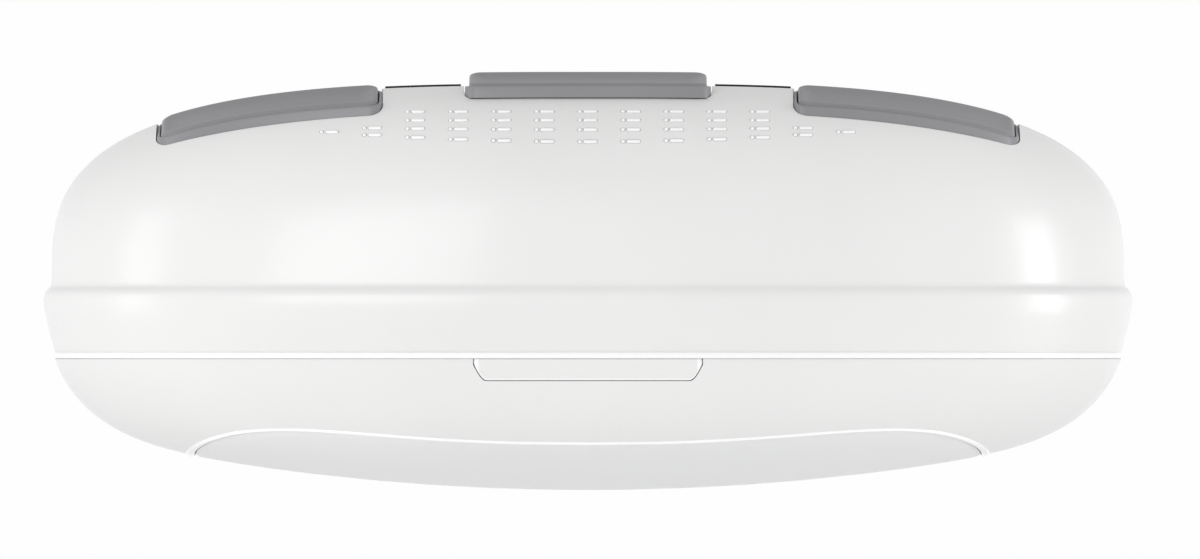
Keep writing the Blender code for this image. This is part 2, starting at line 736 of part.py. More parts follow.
def chassis():
    """Folded steel: a top plate that carries the drive, and a leg down to the base at each end."""
    front, rear = CHASSIS_Y
    plate = box("chassis", (-CHASSIS_X, front, CHASSIS_TOP - SHEET), (CHASSIS_X, rear, CHASSIS_TOP),
                BLACK_STEEL)
    leg_foot = 33.4
    join(plate, "front_leg", lambda drawn: add_box(
        drawn, (-40, front, leg_foot), (40, front + SHEET, CHASSIS_TOP - 1)))
    join(plate, "rear_leg", lambda drawn: add_box(
        drawn, (-40, rear - SHEET, leg_foot), (40, rear, CHASSIS_TOP - 1)))
    cut(plate, "shaft_hole", lambda drawn: add_cylinder(drawn, 7, 20, (0, DRIVE_Y, CHASSIS_TOP)))
    for x, y in HANGER_PLACES:
        cut(plate, f"hanger_hole_{x}_{y}", lambda drawn, x=x, y=y: add_cylinder(
            drawn, 3.3, 20, (x, y, CHASSIS_TOP), sides=16))
    return plate


def rail_dock():
    """Channel that the rail's end drops into: a floor, two side walls and two bolted flanges."""
    front, rear = DOCK_Y
    floor = CHASSIS_TOP + FIT
    outer = DOCK_INNER + DOCK_WALL
    dock = box("rail_dock", (-DOCK_FLANGE, front, floor), (DOCK_FLANGE, rear, SEAT_Z), ZINC_STEEL)
    for side in (-1, 1):
        low, high = sorted((side * DOCK_INNER, side * outer))
        join(dock, f"wall_{side}", lambda drawn, low=low, high=high: add_box(
            drawn, (low, front, floor + 0.5), (high, rear, DOCK_TOP)))
    cut(dock, "sprocket_hole", lambda drawn: add_cylinder(
        drawn, DOCK_SPROCKET_HOLE, 20, (0, DRIVE_Y, SEAT_Z), sides=32))
    return dock


def dock_bolts():
    for number, (x, y) in enumerate(DOCK_BOLTS, 1):
        head = cylinder(f"dock_bolt_{number}", 5.0, 4.0, (x, y, SEAT_Z + FIT + 2.0), ZINC_STEEL, sides=6)
        join(head, "washer", lambda drawn, x=x, y=y: add_cylinder(
            drawn, 6.4, 1.0, (x, y, SEAT_Z + FIT + 0.5), sides=24))
        cut(head, "dish", lambda drawn, x=x, y=y: add_cylinder(
            drawn, 3.0, 2.0, (x, y, SEAT_Z + FIT + 4.2), sides=16))


def flat_plate(name, half_x, half_y, low, high, material, power=BODY_PLAN_POWER):
    outline = plan_ring(half_x, half_y, power)
    rings = [[(x, y, low) for x, y in outline], [(x, y, high) for x, y in outline]]
    return keep(name, mesh_from(name, lambda drawn: add_bar(drawn, rings)), material)


# Drive train

def gearbox_housing():
    low, high = GEARBOX_LOW, GEARBOX_HIGH
    housing = box("gearbox_housing", low, high, CAST_ALUMINIUM)
    cavity = [low[0] + GEARBOX_WALL, low[1] + GEARBOX_WALL, low[2] - 5]
    roof = [high[0] - GEARBOX_WALL, high[1] - GEARBOX_WALL, high[2] - 8]
    cut(housing, "cavity", lambda drawn: add_box(drawn, cavity, roof))
    cut(housing, "bearing_seat", lambda drawn: add_cylinder(drawn, 9.4, 20, (0, DRIVE_Y, high[2])))
    cut(housing, "worm_bore", lambda drawn: add_cylinder(
        drawn, 3.4, 100, (0, WORM_Y, WORM_Z), "X", sides=24))
    return housing


def drive_train(axle):
    wheel_low, wheel_high = WORM_Z - 5, WORM_Z + 5
    place = (0, DRIVE_Y)
    low, high = GEARBOX_LOW, GEARBOX_HIGH
    cover = box("gearbox_cover", (low[0], low[1], low[2] - 3.3), (high[0], high[1], low[2] - FIT),
                CAST_ALUMINIUM)
    cut(cover, "bearing_seat", lambda drawn: add_cylinder(drawn, 9.4, 20, (*place, low[2] - 3)))
    ring = [(9.0, 2.6), (9.0, -2.6), (5.35, -2.6), (5.35, 2.6)]
    turned("upper_bearing", ring, (*place, high[2] - 4.4), ZINC_STEEL)
    turned("lower_bearing", ring, (*place, low[2] - 1.0), ZINC_STEEL)
    gear("worm_wheel", WHEEL_TEETH, WHEEL_RADIUS, 1.2, SHAFT_RADIUS + FIT, wheel_low, wheel_high,
         BRONZE_GEAR, axle)
    gear("drive_sprocket", SPROCKET_TEETH, 12.6, 3.2, SHAFT_RADIUS + FIT, SEAT_Z + 0.8, SEAT_Z + 5.4,
         ZINC_STEEL, axle)
    shaft_low, shaft_high = low[2] - 3, SEAT_Z + 7.2
    turned("output_shaft",
           [(0, shaft_high), (SHAFT_RADIUS - 0.5, shaft_high), (SHAFT_RADIUS, shaft_high - 0.5),
            (SHAFT_RADIUS, shaft_low), (0, shaft_low)], (*place, 0), ZINC_STEEL, "Z", axle, 24)
    collar = SEAT_Z + 5.7
    turned("shaft_clip", [(8.0, collar + 1.0), (8.0, collar), (SHAFT_RADIUS + FIT, collar),
                          (SHAFT_RADIUS + FIT, collar + 1.0)], (*place, 0), PART_BLACK, "Z", axle, 24)


def gear(name, teeth, radius, tooth, bore, low, high, material, parent):
    """A toothed disc about the output shaft, with its bore."""
    outline = []
    for i in range(teeth * 4):
        turn = 2 * math.pi * (i + 0.5) / (teeth * 4)
        reach = radius if i % 4 in (0, 1) else radius - tooth
        outline.append((reach * math.cos(turn), DRIVE_Y + reach * math.sin(turn)))
    hole = []
    for i in range(teeth * 4):
        turn = 2 * math.pi * (i + 0.5) / (teeth * 4)
        hole.append((bore * math.cos(turn), DRIVE_Y + bore * math.sin(turn)))
    rings = [[(x, y, low) for x, y in outline], [(x, y, high) for x, y in outline],
             [(x, y, high) for x, y in hole], [(x, y, low) for x, y in hole]]
    mesh = mesh_from(name, lambda drawn: add_tube(drawn, rings))
    return keep(name, mesh, material, parent, smooth=False)


def motor(spindle):
    back, front = MOTOR_X
    centre = (0, WORM_Y, WORM_Z)
    wall = 2.0
    turned("motor_can",
           [(MOTOR_RADIUS - 1, front), (MOTOR_RADIUS, front - 1), (MOTOR_RADIUS, back + 5),
            (MOTOR_RADIUS - wall, back + 5), (MOTOR_RADIUS - wall, front - 2.5), (4.2, front - 2.5),
            (4.2, front)], centre, ZINC_STEEL, "X", sides=24)
    turned("motor_end_cap",
           [(MOTOR_RADIUS, back + 4.6), (MOTOR_RADIUS, back), (MOTOR_RADIUS - 4, back - 3),
            (9, back - 5), (3.4, back - 5), (3.4, back), (MOTOR_RADIUS - 3, back + 1),
            (MOTOR_RADIUS - 3, back + 4.6)], centre, PART_BLACK, "X", sides=20)
    near, far = GEARBOX_LOW[0] - FIT, front + FIT
    turned("motor_mount", [(16.0, near), (16.0, far), (5.0, far), (5.0, near)], centre,
           BLACK_RUBBER, "X", sides=24)
    turned("motor_rotor", [(16, front - 12), (16, back + 14), (3.3, back + 14), (3.3, front - 12)],
           centre, COPPER_WINDING, "X", spindle, 20)
    worm = [(0, WORM_REACH), (3, WORM_REACH), (3, 18), (4.4, 17)]
    for i in range(5):
        crown = 13 - 6 * i
        worm += [(5.2, crown + 1), (5.2, crown - 0.5), (4.4, crown - 1.5)]
    worm += [(4.4, -17), (3, -18), (3, back - 8), (0, back - 8)]
    turned("worm_shaft", worm, centre, ZINC_STEEL, "X", spindle, 16)
    turned("encoder_disc", [(12, 39), (12, 37.6), (3.3, 37.6), (3.3, 39)], centre, PART_BLACK, "X",
           spindle, 20)
    sensor = box("encoder_sensor", (34.5, WORM_Y - 5, WORM_Z + 9), (42.1, WORM_Y + 5, WORM_Z + 18),
                 PART_BLACK)
    cut(sensor, "slot", lambda drawn: add_box(
        drawn, (37.1, WORM_Y - 8, WORM_Z + 5), (39.5, WORM_Y + 8, WORM_Z + 13.5)))


# Electrical pieces

def electronics(learn):
    transformer_place = (118, -4, 0)
    turned("transformer",
           [(34, 70), (37, 66), (37, 44), (34, 40), (18, 40), (15, 44), (15, 66), (18, 70)],
           transformer_place, COPPER_WINDING, sides=24)
    clamp = [(0, 76), (4, 76), (4, 72.6), (21, 72.6), (21, 70.5), (10.5, 70.5), (10.5, 37.4),
             (0, 37.4)]
    turned("transformer_clamp", clamp, transformer_place, ZINC_STEEL, sides=20)
    box("logic_board", (BOARD_X[0], BOARD_Y, 36.0), (BOARD_X[1], BOARD_Y + 1.6, 76.0), BOARD_GREEN)
    inside = BOARD_Y - FIT
    for number, x in enumerate((-112, -92), 1):
        box(f"relay_{number}", (x, inside - 15, 52), (x + 15, inside, 72), PART_BLACK)
    cylinder("capacitor", 8, 24, (-60, inside - 12, 62), PART_BLACK, "Y", sides=24)
    terminal_block()
    turned("learn_button",
           [(0, 34.4), (LEARN_RADIUS - 0.6, 34.4), (LEARN_RADIUS, 33.6), (LEARN_RADIUS, 3.2),
            (0, 3.2)], (LEARN_X, BOARD_Y, LEARN_Z), LEARN_YELLOW, "Y", learn, 24)
    mains_inlet()


def terminal_block():
    """Four screw terminals that show through the housing's rear wall."""
    (start, end), (low, high), rear = TERMINALS["x"], TERMINALS["z"], TERMINALS["rear"]
    block = box("terminal_block", (start, BOARD_Y + 1.6 + FIT, low), (end, rear, high),
                TERMINAL_GREEN)
    for i in range(4):
        x = start + 3.5 + 6.3 * i
        cut(block, f"wire_hole_{i}", lambda drawn, x=x: add_cylinder(
            drawn, 1.5, 16, (x, rear, low + 3), "Y", sides=12))
        cut(block, f"screw_hole_{i}", lambda drawn, x=x: add_cylinder(
            drawn, 1.9, 6, (x, rear, high - 3), "Y", sides=12))


def mains_inlet():
    """Three-pin appliance inlet, screwed to the rear wall by its flange."""
    low, high = INLET["z"]
    inner, outer = INLET["flange_y"]
    middle = (low + high) / 2
    inlet = box("mains_inlet", (-INLET["half_x"], inner, low), (INLET["half_x"], outer, high), PART_BLACK)
    half_x, half_z = INLET_BODY
    join(inlet, "body", lambda drawn: add_box(
        drawn, (-half_x, inner - 26, middle - half_z), (half_x, inner + 0.5, middle + half_z)))
    cut(inlet, "socket", lambda drawn: add_box(
        drawn, (2 - half_x, outer - 18, middle - half_z + 2), (half_x - 2, outer + 5, middle + half_z - 2)))
    for i, (x, z) in enumerate(((-7, middle - 2), (0, middle + 2), (7, middle - 2))):
        join(inlet, f"pin_{i}", lambda drawn, x=x, z=z: add_box(
            drawn, (x - 1, outer - 20, z - 2), (x + 1, outer - 6, z + 2)))


def lamp():
    flat_plate("base_frame", 172, 108, 31.2, 33.0, ZINC_STEEL)
    flat_plate("lamp_tray", 190, 113, 4.0, 5.8, WHITE_SHELL)
    for name, y in (("led_board_front", -46), ("led_board_rear", 46)):
        box(name, (-118, y - 9, 2.0), (118, y + 9, 3.6), WHITE_SHELL)


def hinges():
    for name, side in (("left", -1), ("right", 1)):
        x = side * HINGE_X
        bracket = box(f"hinge_bracket_{name}", (x - 11.4, 131.1, 1.4), (x + 11.4, 133.4, 13.0),
                      WHITE_SHELL)
        for ear in (-1, 1):
            low, high = sorted((x + ear * 6.3, x + ear * 11.4))
            join(bracket, f"ear_{ear}", lambda drawn, low=low, high=high: add_box(
                drawn, (low, 131.4, 0), (high, HINGE_Y, 3.2)))
            join(bracket, f"barrel_{ear}", lambda drawn, low=low, high=high: add_cylinder(
                drawn, 3.4, high - low, ((low + high) / 2, HINGE_Y, 0), "X", sides=24))
        cut(bracket, "gap", lambda drawn, x=x: add_box(drawn, (x - 6.3, 130, -5), (x + 6.3, 142, 4.6)))
        cut(bracket, "bore", lambda drawn, x=x: add_cylinder(
            drawn, 1.75, 30, (x, HINGE_Y, 0), "X", sides=16))
        cylinder(f"hinge_pin_{name}", 1.4, 23.4, (x, HINGE_Y, 0), ZINC_STEEL, "X", sides=16)


def build_opener():
    upper_housing()
    vent_baffle()
    top_deck()
    crest_seal("left", -77.6, -48.6)
    crest_seal("right", 48.6, 77.6)
    for side, button in BUTTONS.items():
        bezel(side)
        x, y = stem_place(side)
        middle = (x, crest_y(x), arch(x))
        button_cap(side, empty(f"button_{side}_slide", middle, ROOT))
        box(f"button_switch_{side}", (x - 4, y - 4, arch(x) - 20.5), (x + 4, y + 4, arch(x) - 16.2),
            PART_BLACK)
    cover_hinge = empty("cover_hinge", (0, HINGE_Y, 0), ROOT)
    lower_cover(cover_hinge)
    light_lens(cover_hinge)
    latch_hinge = empty("latch_hinge", (0, *PADDLE_PIVOT), ROOT)
    latch_paddle(latch_hinge)
    latch_bearers(cover_hinge)
    box("latch_striker", (-11, -129.1, 3.6), (11, -128.3, 6.4), WHITE_SHELL)
    hinges()
    chassis()
    rail_dock()
    dock_bolts()
    gearbox_housing()
    drive_train(empty("output_axis", (0, DRIVE_Y, SEAT_Z), ROOT))
    motor(empty("motor_axis", (0, WORM_Y, WORM_Z), ROOT))
    electronics(empty("learn_slide", (LEARN_X, BOARD_Y, LEARN_Z), ROOT))
    lamp()


build_opener()
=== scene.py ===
"""Looks of the garage door opener: fine shells, buttons, lens and materials round the CAD frame.

Lengths are in millimetres and placed() turns them into metres. Heights are counted from the
split line between the housing and the lower cover, and SPLIT_Z puts that line where the frame
has it. The lights, the floor and the camera are in metres.
"""

import json
import math

import bmesh
import bpy
from mathutils import Matrix, Vector


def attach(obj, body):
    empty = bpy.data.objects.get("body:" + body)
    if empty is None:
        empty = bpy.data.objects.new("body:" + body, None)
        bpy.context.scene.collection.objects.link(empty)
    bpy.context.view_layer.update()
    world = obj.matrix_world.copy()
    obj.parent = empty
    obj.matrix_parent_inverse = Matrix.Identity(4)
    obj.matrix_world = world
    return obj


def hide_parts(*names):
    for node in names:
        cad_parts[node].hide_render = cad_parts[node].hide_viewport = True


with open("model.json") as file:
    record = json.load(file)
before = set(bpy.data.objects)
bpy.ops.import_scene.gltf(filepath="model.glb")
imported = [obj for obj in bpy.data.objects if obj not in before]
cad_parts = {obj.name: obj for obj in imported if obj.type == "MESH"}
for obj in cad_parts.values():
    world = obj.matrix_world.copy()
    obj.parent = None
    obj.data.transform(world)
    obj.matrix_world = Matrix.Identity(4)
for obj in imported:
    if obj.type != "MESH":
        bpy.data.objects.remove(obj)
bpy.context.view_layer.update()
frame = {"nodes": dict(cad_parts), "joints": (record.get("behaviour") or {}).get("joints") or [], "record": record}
NODES = frame["nodes"]
SPLIT_Z = next(j for j in frame["joints"] if j["name"] == "cover_hinge")["pos_m"][2]
MM = 0.001

# The housing's driving sizes, in millimetres, as the CAD has them.
WALL = 2.6
ARCH_HALF, ARCH_SPRING, ARCH_RISE, ARCH_POWER = 207.2, 29.4, 73.9, 3.18
CREST_HALF_X, CREST_HALF_Y, CREST_POWER = 192.0, 92.0, 2.1
CREST_LIP = 7.8
BODY_POWER = 2.4
SHOULDER_CENTRE_Y, SHOULDER_HALF_Y, SHOULDER_RISE, SHOULDER_POWER = 40.0, 93.0, 77.8, 3.2
COVER_HALF_X, COVER_HALF_Y = 206.0, 131.5
BELLY_DEPTH, BELLY_RADIUS, BELLY_CORNER, BELLY_FALL = 51.8, 908.0, 13.0, 0.7407
LENS_HALF_X, LENS_HALF_Y, LENS_POWER = 152.0, 108.5, 4.0
SPLIT_GAP = 0.8

# How finely the shells are drawn, and the angles in degrees over which an edge stays sharp.
RING_POINTS = 192
COVER_STEPS, COVER_INSIDE_STEPS, COVER_CROWDING = 40, 9, 2.2
SEAL_STEPS = 24
CORNER_STEPS, EDGE_STEPS = 8, 28
DRAWN_SHARP, CUT_SHARP = 35, 32

# The housing's outline as (height, half width, half depth), from the bead at the split line up.
# The bead gives (height, distance out from the housing's edge).
BEAD = [(0.8, 0.35), (-0.8, 0.35), (-0.95, 0.5), (-0.85, 0.9), (-0.4, 1.12), (0.5, 1.15),
        (1.1, 0.95), (1.38, 0.6), (1.5, 0.25), (1.62, 0.1), (1.85, 0.12), (3.0, 0.5)]
BEAD_TOP = 1.5
BELT = [(5.0, 206.9, 132.35), (7.5, 207.55, 132.87), (11.0, 208.5, 133.6),
        (15.5, 209.55, 134.4), (19.0, 210.15, 134.87), (21.5, 210.3, 135.0),
        (23.2, 210.15, 134.87), (24.5, 209.75, 134.55), (25.3, 209.2, 134.12),
        (25.9, 208.6, 133.7), (26.4, 208.05, 133.35), (27.1, 207.6, 133.1),
        (28.6, 207.35, 132.98)]
BELT_INSIDE = [(0.8, 205.9, 131.5), (11.0, 208.5, 133.6), (21.0, 210.3, 135.0)]
SHOULDER_LEVELS = [0.05, 0.12, 0.2, 0.28, 0.36, 0.44, 0.51, 0.57, 0.62, 0.67, 0.715, 0.755, 0.79,
                   0.825, 0.86, 0.89, 0.92, 0.95, 0.975, 0.99]
CREST_ROLL = [(0.25, 0.0), (0.8, -0.12), (1.6, -0.15), (2.2, 0.05), (WALL, 0.45),
              (WALL, CREST_LIP)]

# Openings, each a box with its low and its high corner, or a round hole.
RAIL_NOTCH = ((-21, 60, 96.6), (21, 150, 120))
INLET_HOLE = ((-14.6, 110, 41.4), (14.6, 150, 62.6))
TERMINAL_HOLE = ((-88.6, 90, 44.4), (-61.4, 150, 56.6))
CHASSIS_HOLE = ((-62.6, -55.6, 80), (62.6, 72.6, 120))
LEARN_HOLE_RADIUS, LEARN_HOLE_LENGTH, LEARN_HOLE_PLACE = 4.4, 60, (-44, 120, 50)
STEM_RADIUS, STEM_HOLE_RADIUS, STEM_HOLE_LENGTH, STEM_BELOW_CREST = 2.5, 3.3, 30, 13.0

# Rows of vents in the front slope. Each vent is a round dot and a dash beside it.
VENT_PITCH = 16.43
VENT_PARTS = ((-3.1, 0.7), (0.9, 2.6))
VENT_LIP_HALF, VENT_GROOVE_HALF = 0.72, 1.0
VENT_ROWS, VENT_SIDE_LIFT, VENT_FULL_COLUMNS = (93.2, 89.9, 86.2, 81.6), (0.0, 0.0, 0.8, 2.7), 4
VENT_POINTS = 20
GROOVE_HEIGHTS = (-0.45, 3.0)
LIP_PROFILE = ((0, -0.42), (0, 0.1), (0.1, 0.28), (0.3, 0.42), (0.55, 0.48))

# Push buttons: their span in x, front and rear edges ahead of the crest line, rim and cap heights.
BUTTONS = {
    "left": dict(x=(-165.3, -78.7), edges=(21.0, -5.0), rim=(-6.6, 0.0), rise=(1.2, 2.9)),
    "centre": dict(x=(-47.0, 47.0), edges=(13.4, -12.6), rim=(-0.1, -0.1), rise=(1.2, 6.6)),
    "right": dict(x=(78.7, 165.3), edges=(21.0, -5.0), rim=(-6.6, 0.0), rise=(1.2, 2.9)),
}
BEZEL_WALL, BEZEL_HEIGHT, POCKET_DEPTH = 1.2, 4.6, 4.9
CAP_GAP, CAP_BELOW_RIM, BUTTON_CORNER, CAP_SWEEP = 0.4, 1.9, 5.0, 1.4
CENTRE_STEM_BACK, SIDE_STEM_BACK, STEM_TOP = 7.5, -4.0, -0.6
BEZEL_PROFILE = [(0, -BEZEL_HEIGHT), (0, -0.45), (0.12, -0.15), (0.4, 0), (0.8, 0),
                 (1.08, -0.15), (BEZEL_WALL, -0.45), (BEZEL_WALL, -BEZEL_HEIGHT)]
CAP_PROFILE = [(0.0, 1.5), (0.1, 1.0), (0.35, 0.62), (0.75, 0.4), (1.2, 0.32), (1.8, 0.4),
               (2.6, 0.68), (3.6, 1.0), (5.0, 1.28), (6.8, 1.45), (8.6, 1.5)]

# Deck and crest seals
DECK_GAP, DECK_DROP, DECK_UNDER, DECK_HOLE_Z = 0.4, 6.0, 8.4, 95
SEAL_SPAN, SEAL_BELOW, SEAL_RISE, SEAL_WIDTH = (48.6, 77.6), 5.5, 0.9, 1.8

# Lower cover: shares of the way from its edge (0) to the lens opening (1), the lip and the hinges
EDGE_SHARE, BOWL_SHARE, LIP_START, LIP_SHARE = 0.0006, 0.94, 0.945, 0.0555
LIP_RISE, LIP_STEPS, LENS_GAP = 0.75, 12, 0.7
EDGE_TUCK, EDGE_INSIDE = (0.998, 0.997), (0.986, 0.979)
HINGE_X, HINGE_Y, KNUCKLE_RADIUS, KNUCKLE_LENGTH, HINGE_BORE = 70.0, 135.5, 3.4, 11, 1.75
EAR_FRONT_Y, EAR_BOTTOM, EAR_TOP = 124.4, -4.4, -1.0

# Latch
PADDLE_PIVOT, PADDLE_BORE = (-126.5, -3.0), 1.3
PADDLE_TOP_HALF, PADDLE_FOOT_HALF, PADDLE_DEPTH = 43.5, 38.5, 9.3
PADDLE_NOTCH_GAP, PADDLE_END_ROUND, PADDLE_FOOT_ROUND = 0.22, 2.4, 1.3
# Widths of the tab's ends and foot that take the brighter white as a painted highlight
PADDLE_HIGHLIGHT_END, PADDLE_HIGHLIGHT_FOOT = 2.0, 0.8

# Small pieces that the CAD leaves out
EMITTER_PITCH, EMITTERS, EMITTER_HALF, BOARD_MIDDLES = 18.0, 13, 1.7, (-46.0, 46.0)
EMITTER_BOTTOM, EMITTER_TOP = 1.2, 1.98
INLET_SCREW_X, INLET_SCREW_Y, INLET_Z, INLET_SCREW_RADIUS = 18.5, 135.92, 52.0, 2.6
TERMINAL_START, TERMINAL_PITCH, TERMINAL_SCREW_Y, TERMINAL_SCREW_Z = -84.5, 6.3, 125.7, 53.0
TERMINALS, TERMINAL_SCREW_RADIUS, SCREW_SIDES = 4, 1.6, 24

# Rounding of the edges of the nodes that keep their own shape
ROUNDING = {"lamp_tray": 0.0, "led_board_front": 0.2, "led_board_rear": 0.2, "logic_board": 0.15,
            "chassis": 0.3, "rail_dock": 0.3, "mains_inlet": 0.4, "gearbox_housing": 1.2,
            "gearbox_cover": 0.8, "relay_1": 0.4, "relay_2": 0.4, "terminal_block": 0.3}
COMMON_ROUNDING = 0.25

# Studio, in metres and watts: each light's place, the point it faces, its size and its power
LIGHTS = {
    "front_light": ((-1.2, -2.5, 0.25), (0.0, 0.0, -0.08), (1.6, 1.2), 15.5),
    "left_light": ((-2.4, -0.3, 0.0), (0.0, 0.0, -0.08), (0.7, 1.6), 7.5),
    "right_light": ((2.4, -0.2, -0.1), (0.0, 0.0, -0.1), (0.7, 1.6), 16.0),
}
# The world's brightness from straight down (0) to straight up (1)
SKY = ((0.0, 0.80), (0.44, 0.90), (0.47, 0.99), (0.54, 0.99), (0.60, 0.85), (0.80, 0.62),
       (1.0, 0.62))
FLOOR_RADIUS, FLOOR_Z = 1.6, -0.42
CAMERA_AWAY, OBJECT_ACROSS, SENSOR_WIDTH = 8.0, 0.4639, 36.0
CAMERA_SHIFT, CAMERA_RANGE = (0.01, 0.06375), (0.1, 40.0)


def power_of(value, power):
    return math.copysign(abs(value) ** power, value)


def partner(value, power):
    return max(0.0, 1.0 - abs(value) ** power) ** (1.0 / power)


def plan_ring(half_x, half_y, power):
    ring = []
    for i in range(RING_POINTS):
        turn = 2 * math.pi * i / RING_POINTS
        ring.append((half_x * power_of(round(math.cos(turn), 9), 2 / power),
                     half_y * power_of(round(math.sin(turn), 9), 2 / power)))
    return ring


def arch(x):
    return ARCH_SPRING + ARCH_RISE * partner(x / ARCH_HALF, ARCH_POWER)


END_RISE = (arch(CREST_HALF_X) - ARCH_SPRING) / ARCH_RISE
FRONT_RISE = partner((CREST_HALF_Y - SHOULDER_CENTRE_Y) / SHOULDER_HALF_Y, SHOULDER_POWER)


def shoulder(level):
    end, front = END_RISE * level, FRONT_RISE * level
    return (ARCH_HALF * partner(end, ARCH_POWER),
            ARCH_SPRING + ARCH_RISE * end,
            SHOULDER_CENTRE_Y + SHOULDER_HALF_Y * partner(front, SHOULDER_POWER),
            ARCH_SPRING + SHOULDER_RISE * front)


def sag(fraction):
    return (arch(0) - arch(fraction * CREST_HALF_X)) / (arch(0) - arch(CREST_HALF_X))


def arched_ring(half_x, end_z, half_y, middle_z, power):
    return [(x, y, middle_z - (middle_z - end_z) * sag(min(1.0, abs(x) / half_x)))
            for x, y in plan_ring(half_x, half_y, power)]


def body_power(level):
    return BODY_POWER + (CREST_POWER - BODY_POWER) * level


def shoulder_inside(level):
    step = 0.004
    below, above = shoulder(max(0.0, level - step)), shoulder(min(1.0, level + step))
    half_x, end_z, half_y, middle_z = shoulder(level)
    run, climb = above[0] - below[0], above[1] - below[1]
    length = math.hypot(run, climb)
    half_x, end_z = half_x - WALL * climb / length, end_z + WALL * run / length
    run, climb = above[2] - below[2], above[3] - below[3]
    length = math.hypot(run, climb)
    return half_x, end_z, half_y - WALL * climb / length, middle_z + WALL * run / length


def front_of_shoulder(x, z):
    low, high = 0.0, 1.0
    for _ in range(40):
        level = (low + high) / 2
        half_x, end_z, half_y, middle_z = shoulder(level)
        here = middle_z - (middle_z - end_z) * sag(min(1.0, abs(x) / half_x))
        low, high = (level, high) if here < z else (low, level)
    half_x, _, half_y, _ = shoulder(low)
    return half_y * partner(x / half_x, body_power(low))


def belly(fraction):
    out = min(1.0, fraction)
    bowl = BELLY_DEPTH - (COVER_HALF_X * out) ** 2 / (2 * BELLY_RADIUS)
    return bowl * (1.0 - out ** BELLY_CORNER) ** BELLY_FALL


def cover_fraction(x, y):
    total = abs(x / COVER_HALF_X) ** BODY_POWER + abs(y / COVER_HALF_Y) ** BODY_POWER
    return total ** (1 / BODY_POWER)


def on_cover(x, y, inset):
    """A point of the cover's outer face at this x and y, moved in along the face's normal."""
    step = 0.02
    out = math.hypot(x, y)
    z = -belly(cover_fraction(x, y))
    inward = 1.0 - step / max(out, 1.0)
    climb = (z + belly(cover_fraction(x * inward, y * inward))) / step if out > 1.0 else 0.0
    length = math.hypot(1.0, climb)
    side = inset * climb / length / max(out, 1.0)
    return x * (1 - side), y * (1 - side), z + inset / length


def front_of_cover(x, z):
    low, high = 0.5, 1.0
    for _ in range(40):
        middle = (low + high) / 2
        low, high = (middle, high) if belly(middle) > -z else (low, middle)
    rest = low ** BODY_POWER - abs(x / COVER_HALF_X) ** BODY_POWER
    return COVER_HALF_Y * max(0.0, rest) ** (1 / BODY_POWER)


def crest_y(x):
    return -CREST_HALF_Y * partner(x / CREST_HALF_X, CREST_POWER)


# Mesh helpers

def placed(point):
    return (point[0] * MM, point[1] * MM, point[2] * MM + SPLIT_Z)


def mesh_object(name, build, material):
    drawn = bmesh.new()
    build(drawn)
    bmesh.ops.recalc_face_normals(drawn, faces=drawn.faces)
    mesh = bpy.data.meshes.new(name)
    drawn.to_mesh(mesh)
    drawn.free()
    mesh.shade_smooth()
    mesh.set_sharp_from_angle(angle=math.radians(DRAWN_SHARP))
    made = bpy.data.objects.new(name, mesh)
    bpy.context.scene.collection.objects.link(made)
    if material:
        mesh.materials.append(material)
    return made


def skin(drawn, rings, wrap):
    rows = [[drawn.verts.new(placed(point)) for point in ring] for ring in rings]
    count = len(rows[0])
    following = rows[1:] + rows[:1] if wrap else rows[1:]
    for lower, upper in zip(rows, following):
        for i in range(count):
            j = (i + 1) % count
            drawn.faces.new((lower[i], lower[j], upper[j], upper[i]))
    return rows


def add_domed(drawn, rings, first_pole, last_pole):
    rows = skin(drawn, rings, wrap=False)
    for row, pole in ((rows[0], first_pole), (rows[-1], last_pole)):
        tip = drawn.verts.new(placed(pole))
        for i in range(len(row)):
            drawn.faces.new((row[i], row[(i + 1) % len(row)], tip))


def add_bar(drawn, sections):
    rows = skin(drawn, sections, wrap=False)
    drawn.faces.new(rows[0])
    drawn.faces.new(list(reversed(rows[-1])))


def add_block(drawn, rings):
    rows = skin(drawn, rings, wrap=False)
    for row in (rows[0], rows[-1]):
        last = len(row) - 1
        for i in range(last // 2):
            drawn.faces.new((row[i], row[i + 1], row[last - i - 1], row[last - i]))


def add_box(drawn, low, high):
    low, high = placed(low), placed(high)
    new = bmesh.ops.create_cube(drawn, size=1.0)["verts"]
    bmesh.ops.scale(drawn, vec=[b - a for a, b in zip(low, high)], verts=new)
    bmesh.ops.translate(drawn, vec=[(a + b) / 2 for a, b in zip(low, high)], verts=new)


def add_cylinder(drawn, radius, length, centre, axis="Z", sides=48):
    new = bmesh.ops.create_cone(drawn, cap_ends=True, segments=sides, radius1=radius * MM,
                                radius2=radius * MM, depth=length * MM)["verts"]
    turn = {"X": ("Y", 90), "Y": ("X", -90), "Z": ("Z", 0)}[axis]
    matrix = Matrix.Rotation(math.radians(turn[1]), 3, turn[0])
    bmesh.ops.rotate(drawn, cent=(0, 0, 0), matrix=matrix, verts=new)
    bmesh.ops.translate(drawn, vec=placed(centre), verts=new)


def boolean(target, build, operation="DIFFERENCE"):
    """Cuts or joins a shape at once, so that no helper stays in the scene."""
    tool = mesh_object("tool", build, None)
    change = target.modifiers.new("change", "BOOLEAN")
    change.operation, change.solver, change.object = operation, "EXACT", tool
    bake(target)
    bpy.data.objects.remove(tool)


def bake(target):
    graph = bpy.context.evaluated_depsgraph_get()
    mesh = bpy.data.meshes.new_from_object(target.evaluated_get(graph))
    target.modifiers.clear()
    old, target.data = target.data, mesh
    mesh.name = old.name
    bpy.data.meshes.remove(old)
    mesh.shade_smooth()
    mesh.set_sharp_from_angle(angle=math.radians(CUT_SHARP))


# Materials

def new_material(name):
    made = bpy.data.materials.new(name)
    made.use_nodes = True
    return made, made.node_tree, made.node_tree.nodes["Principled BSDF"]


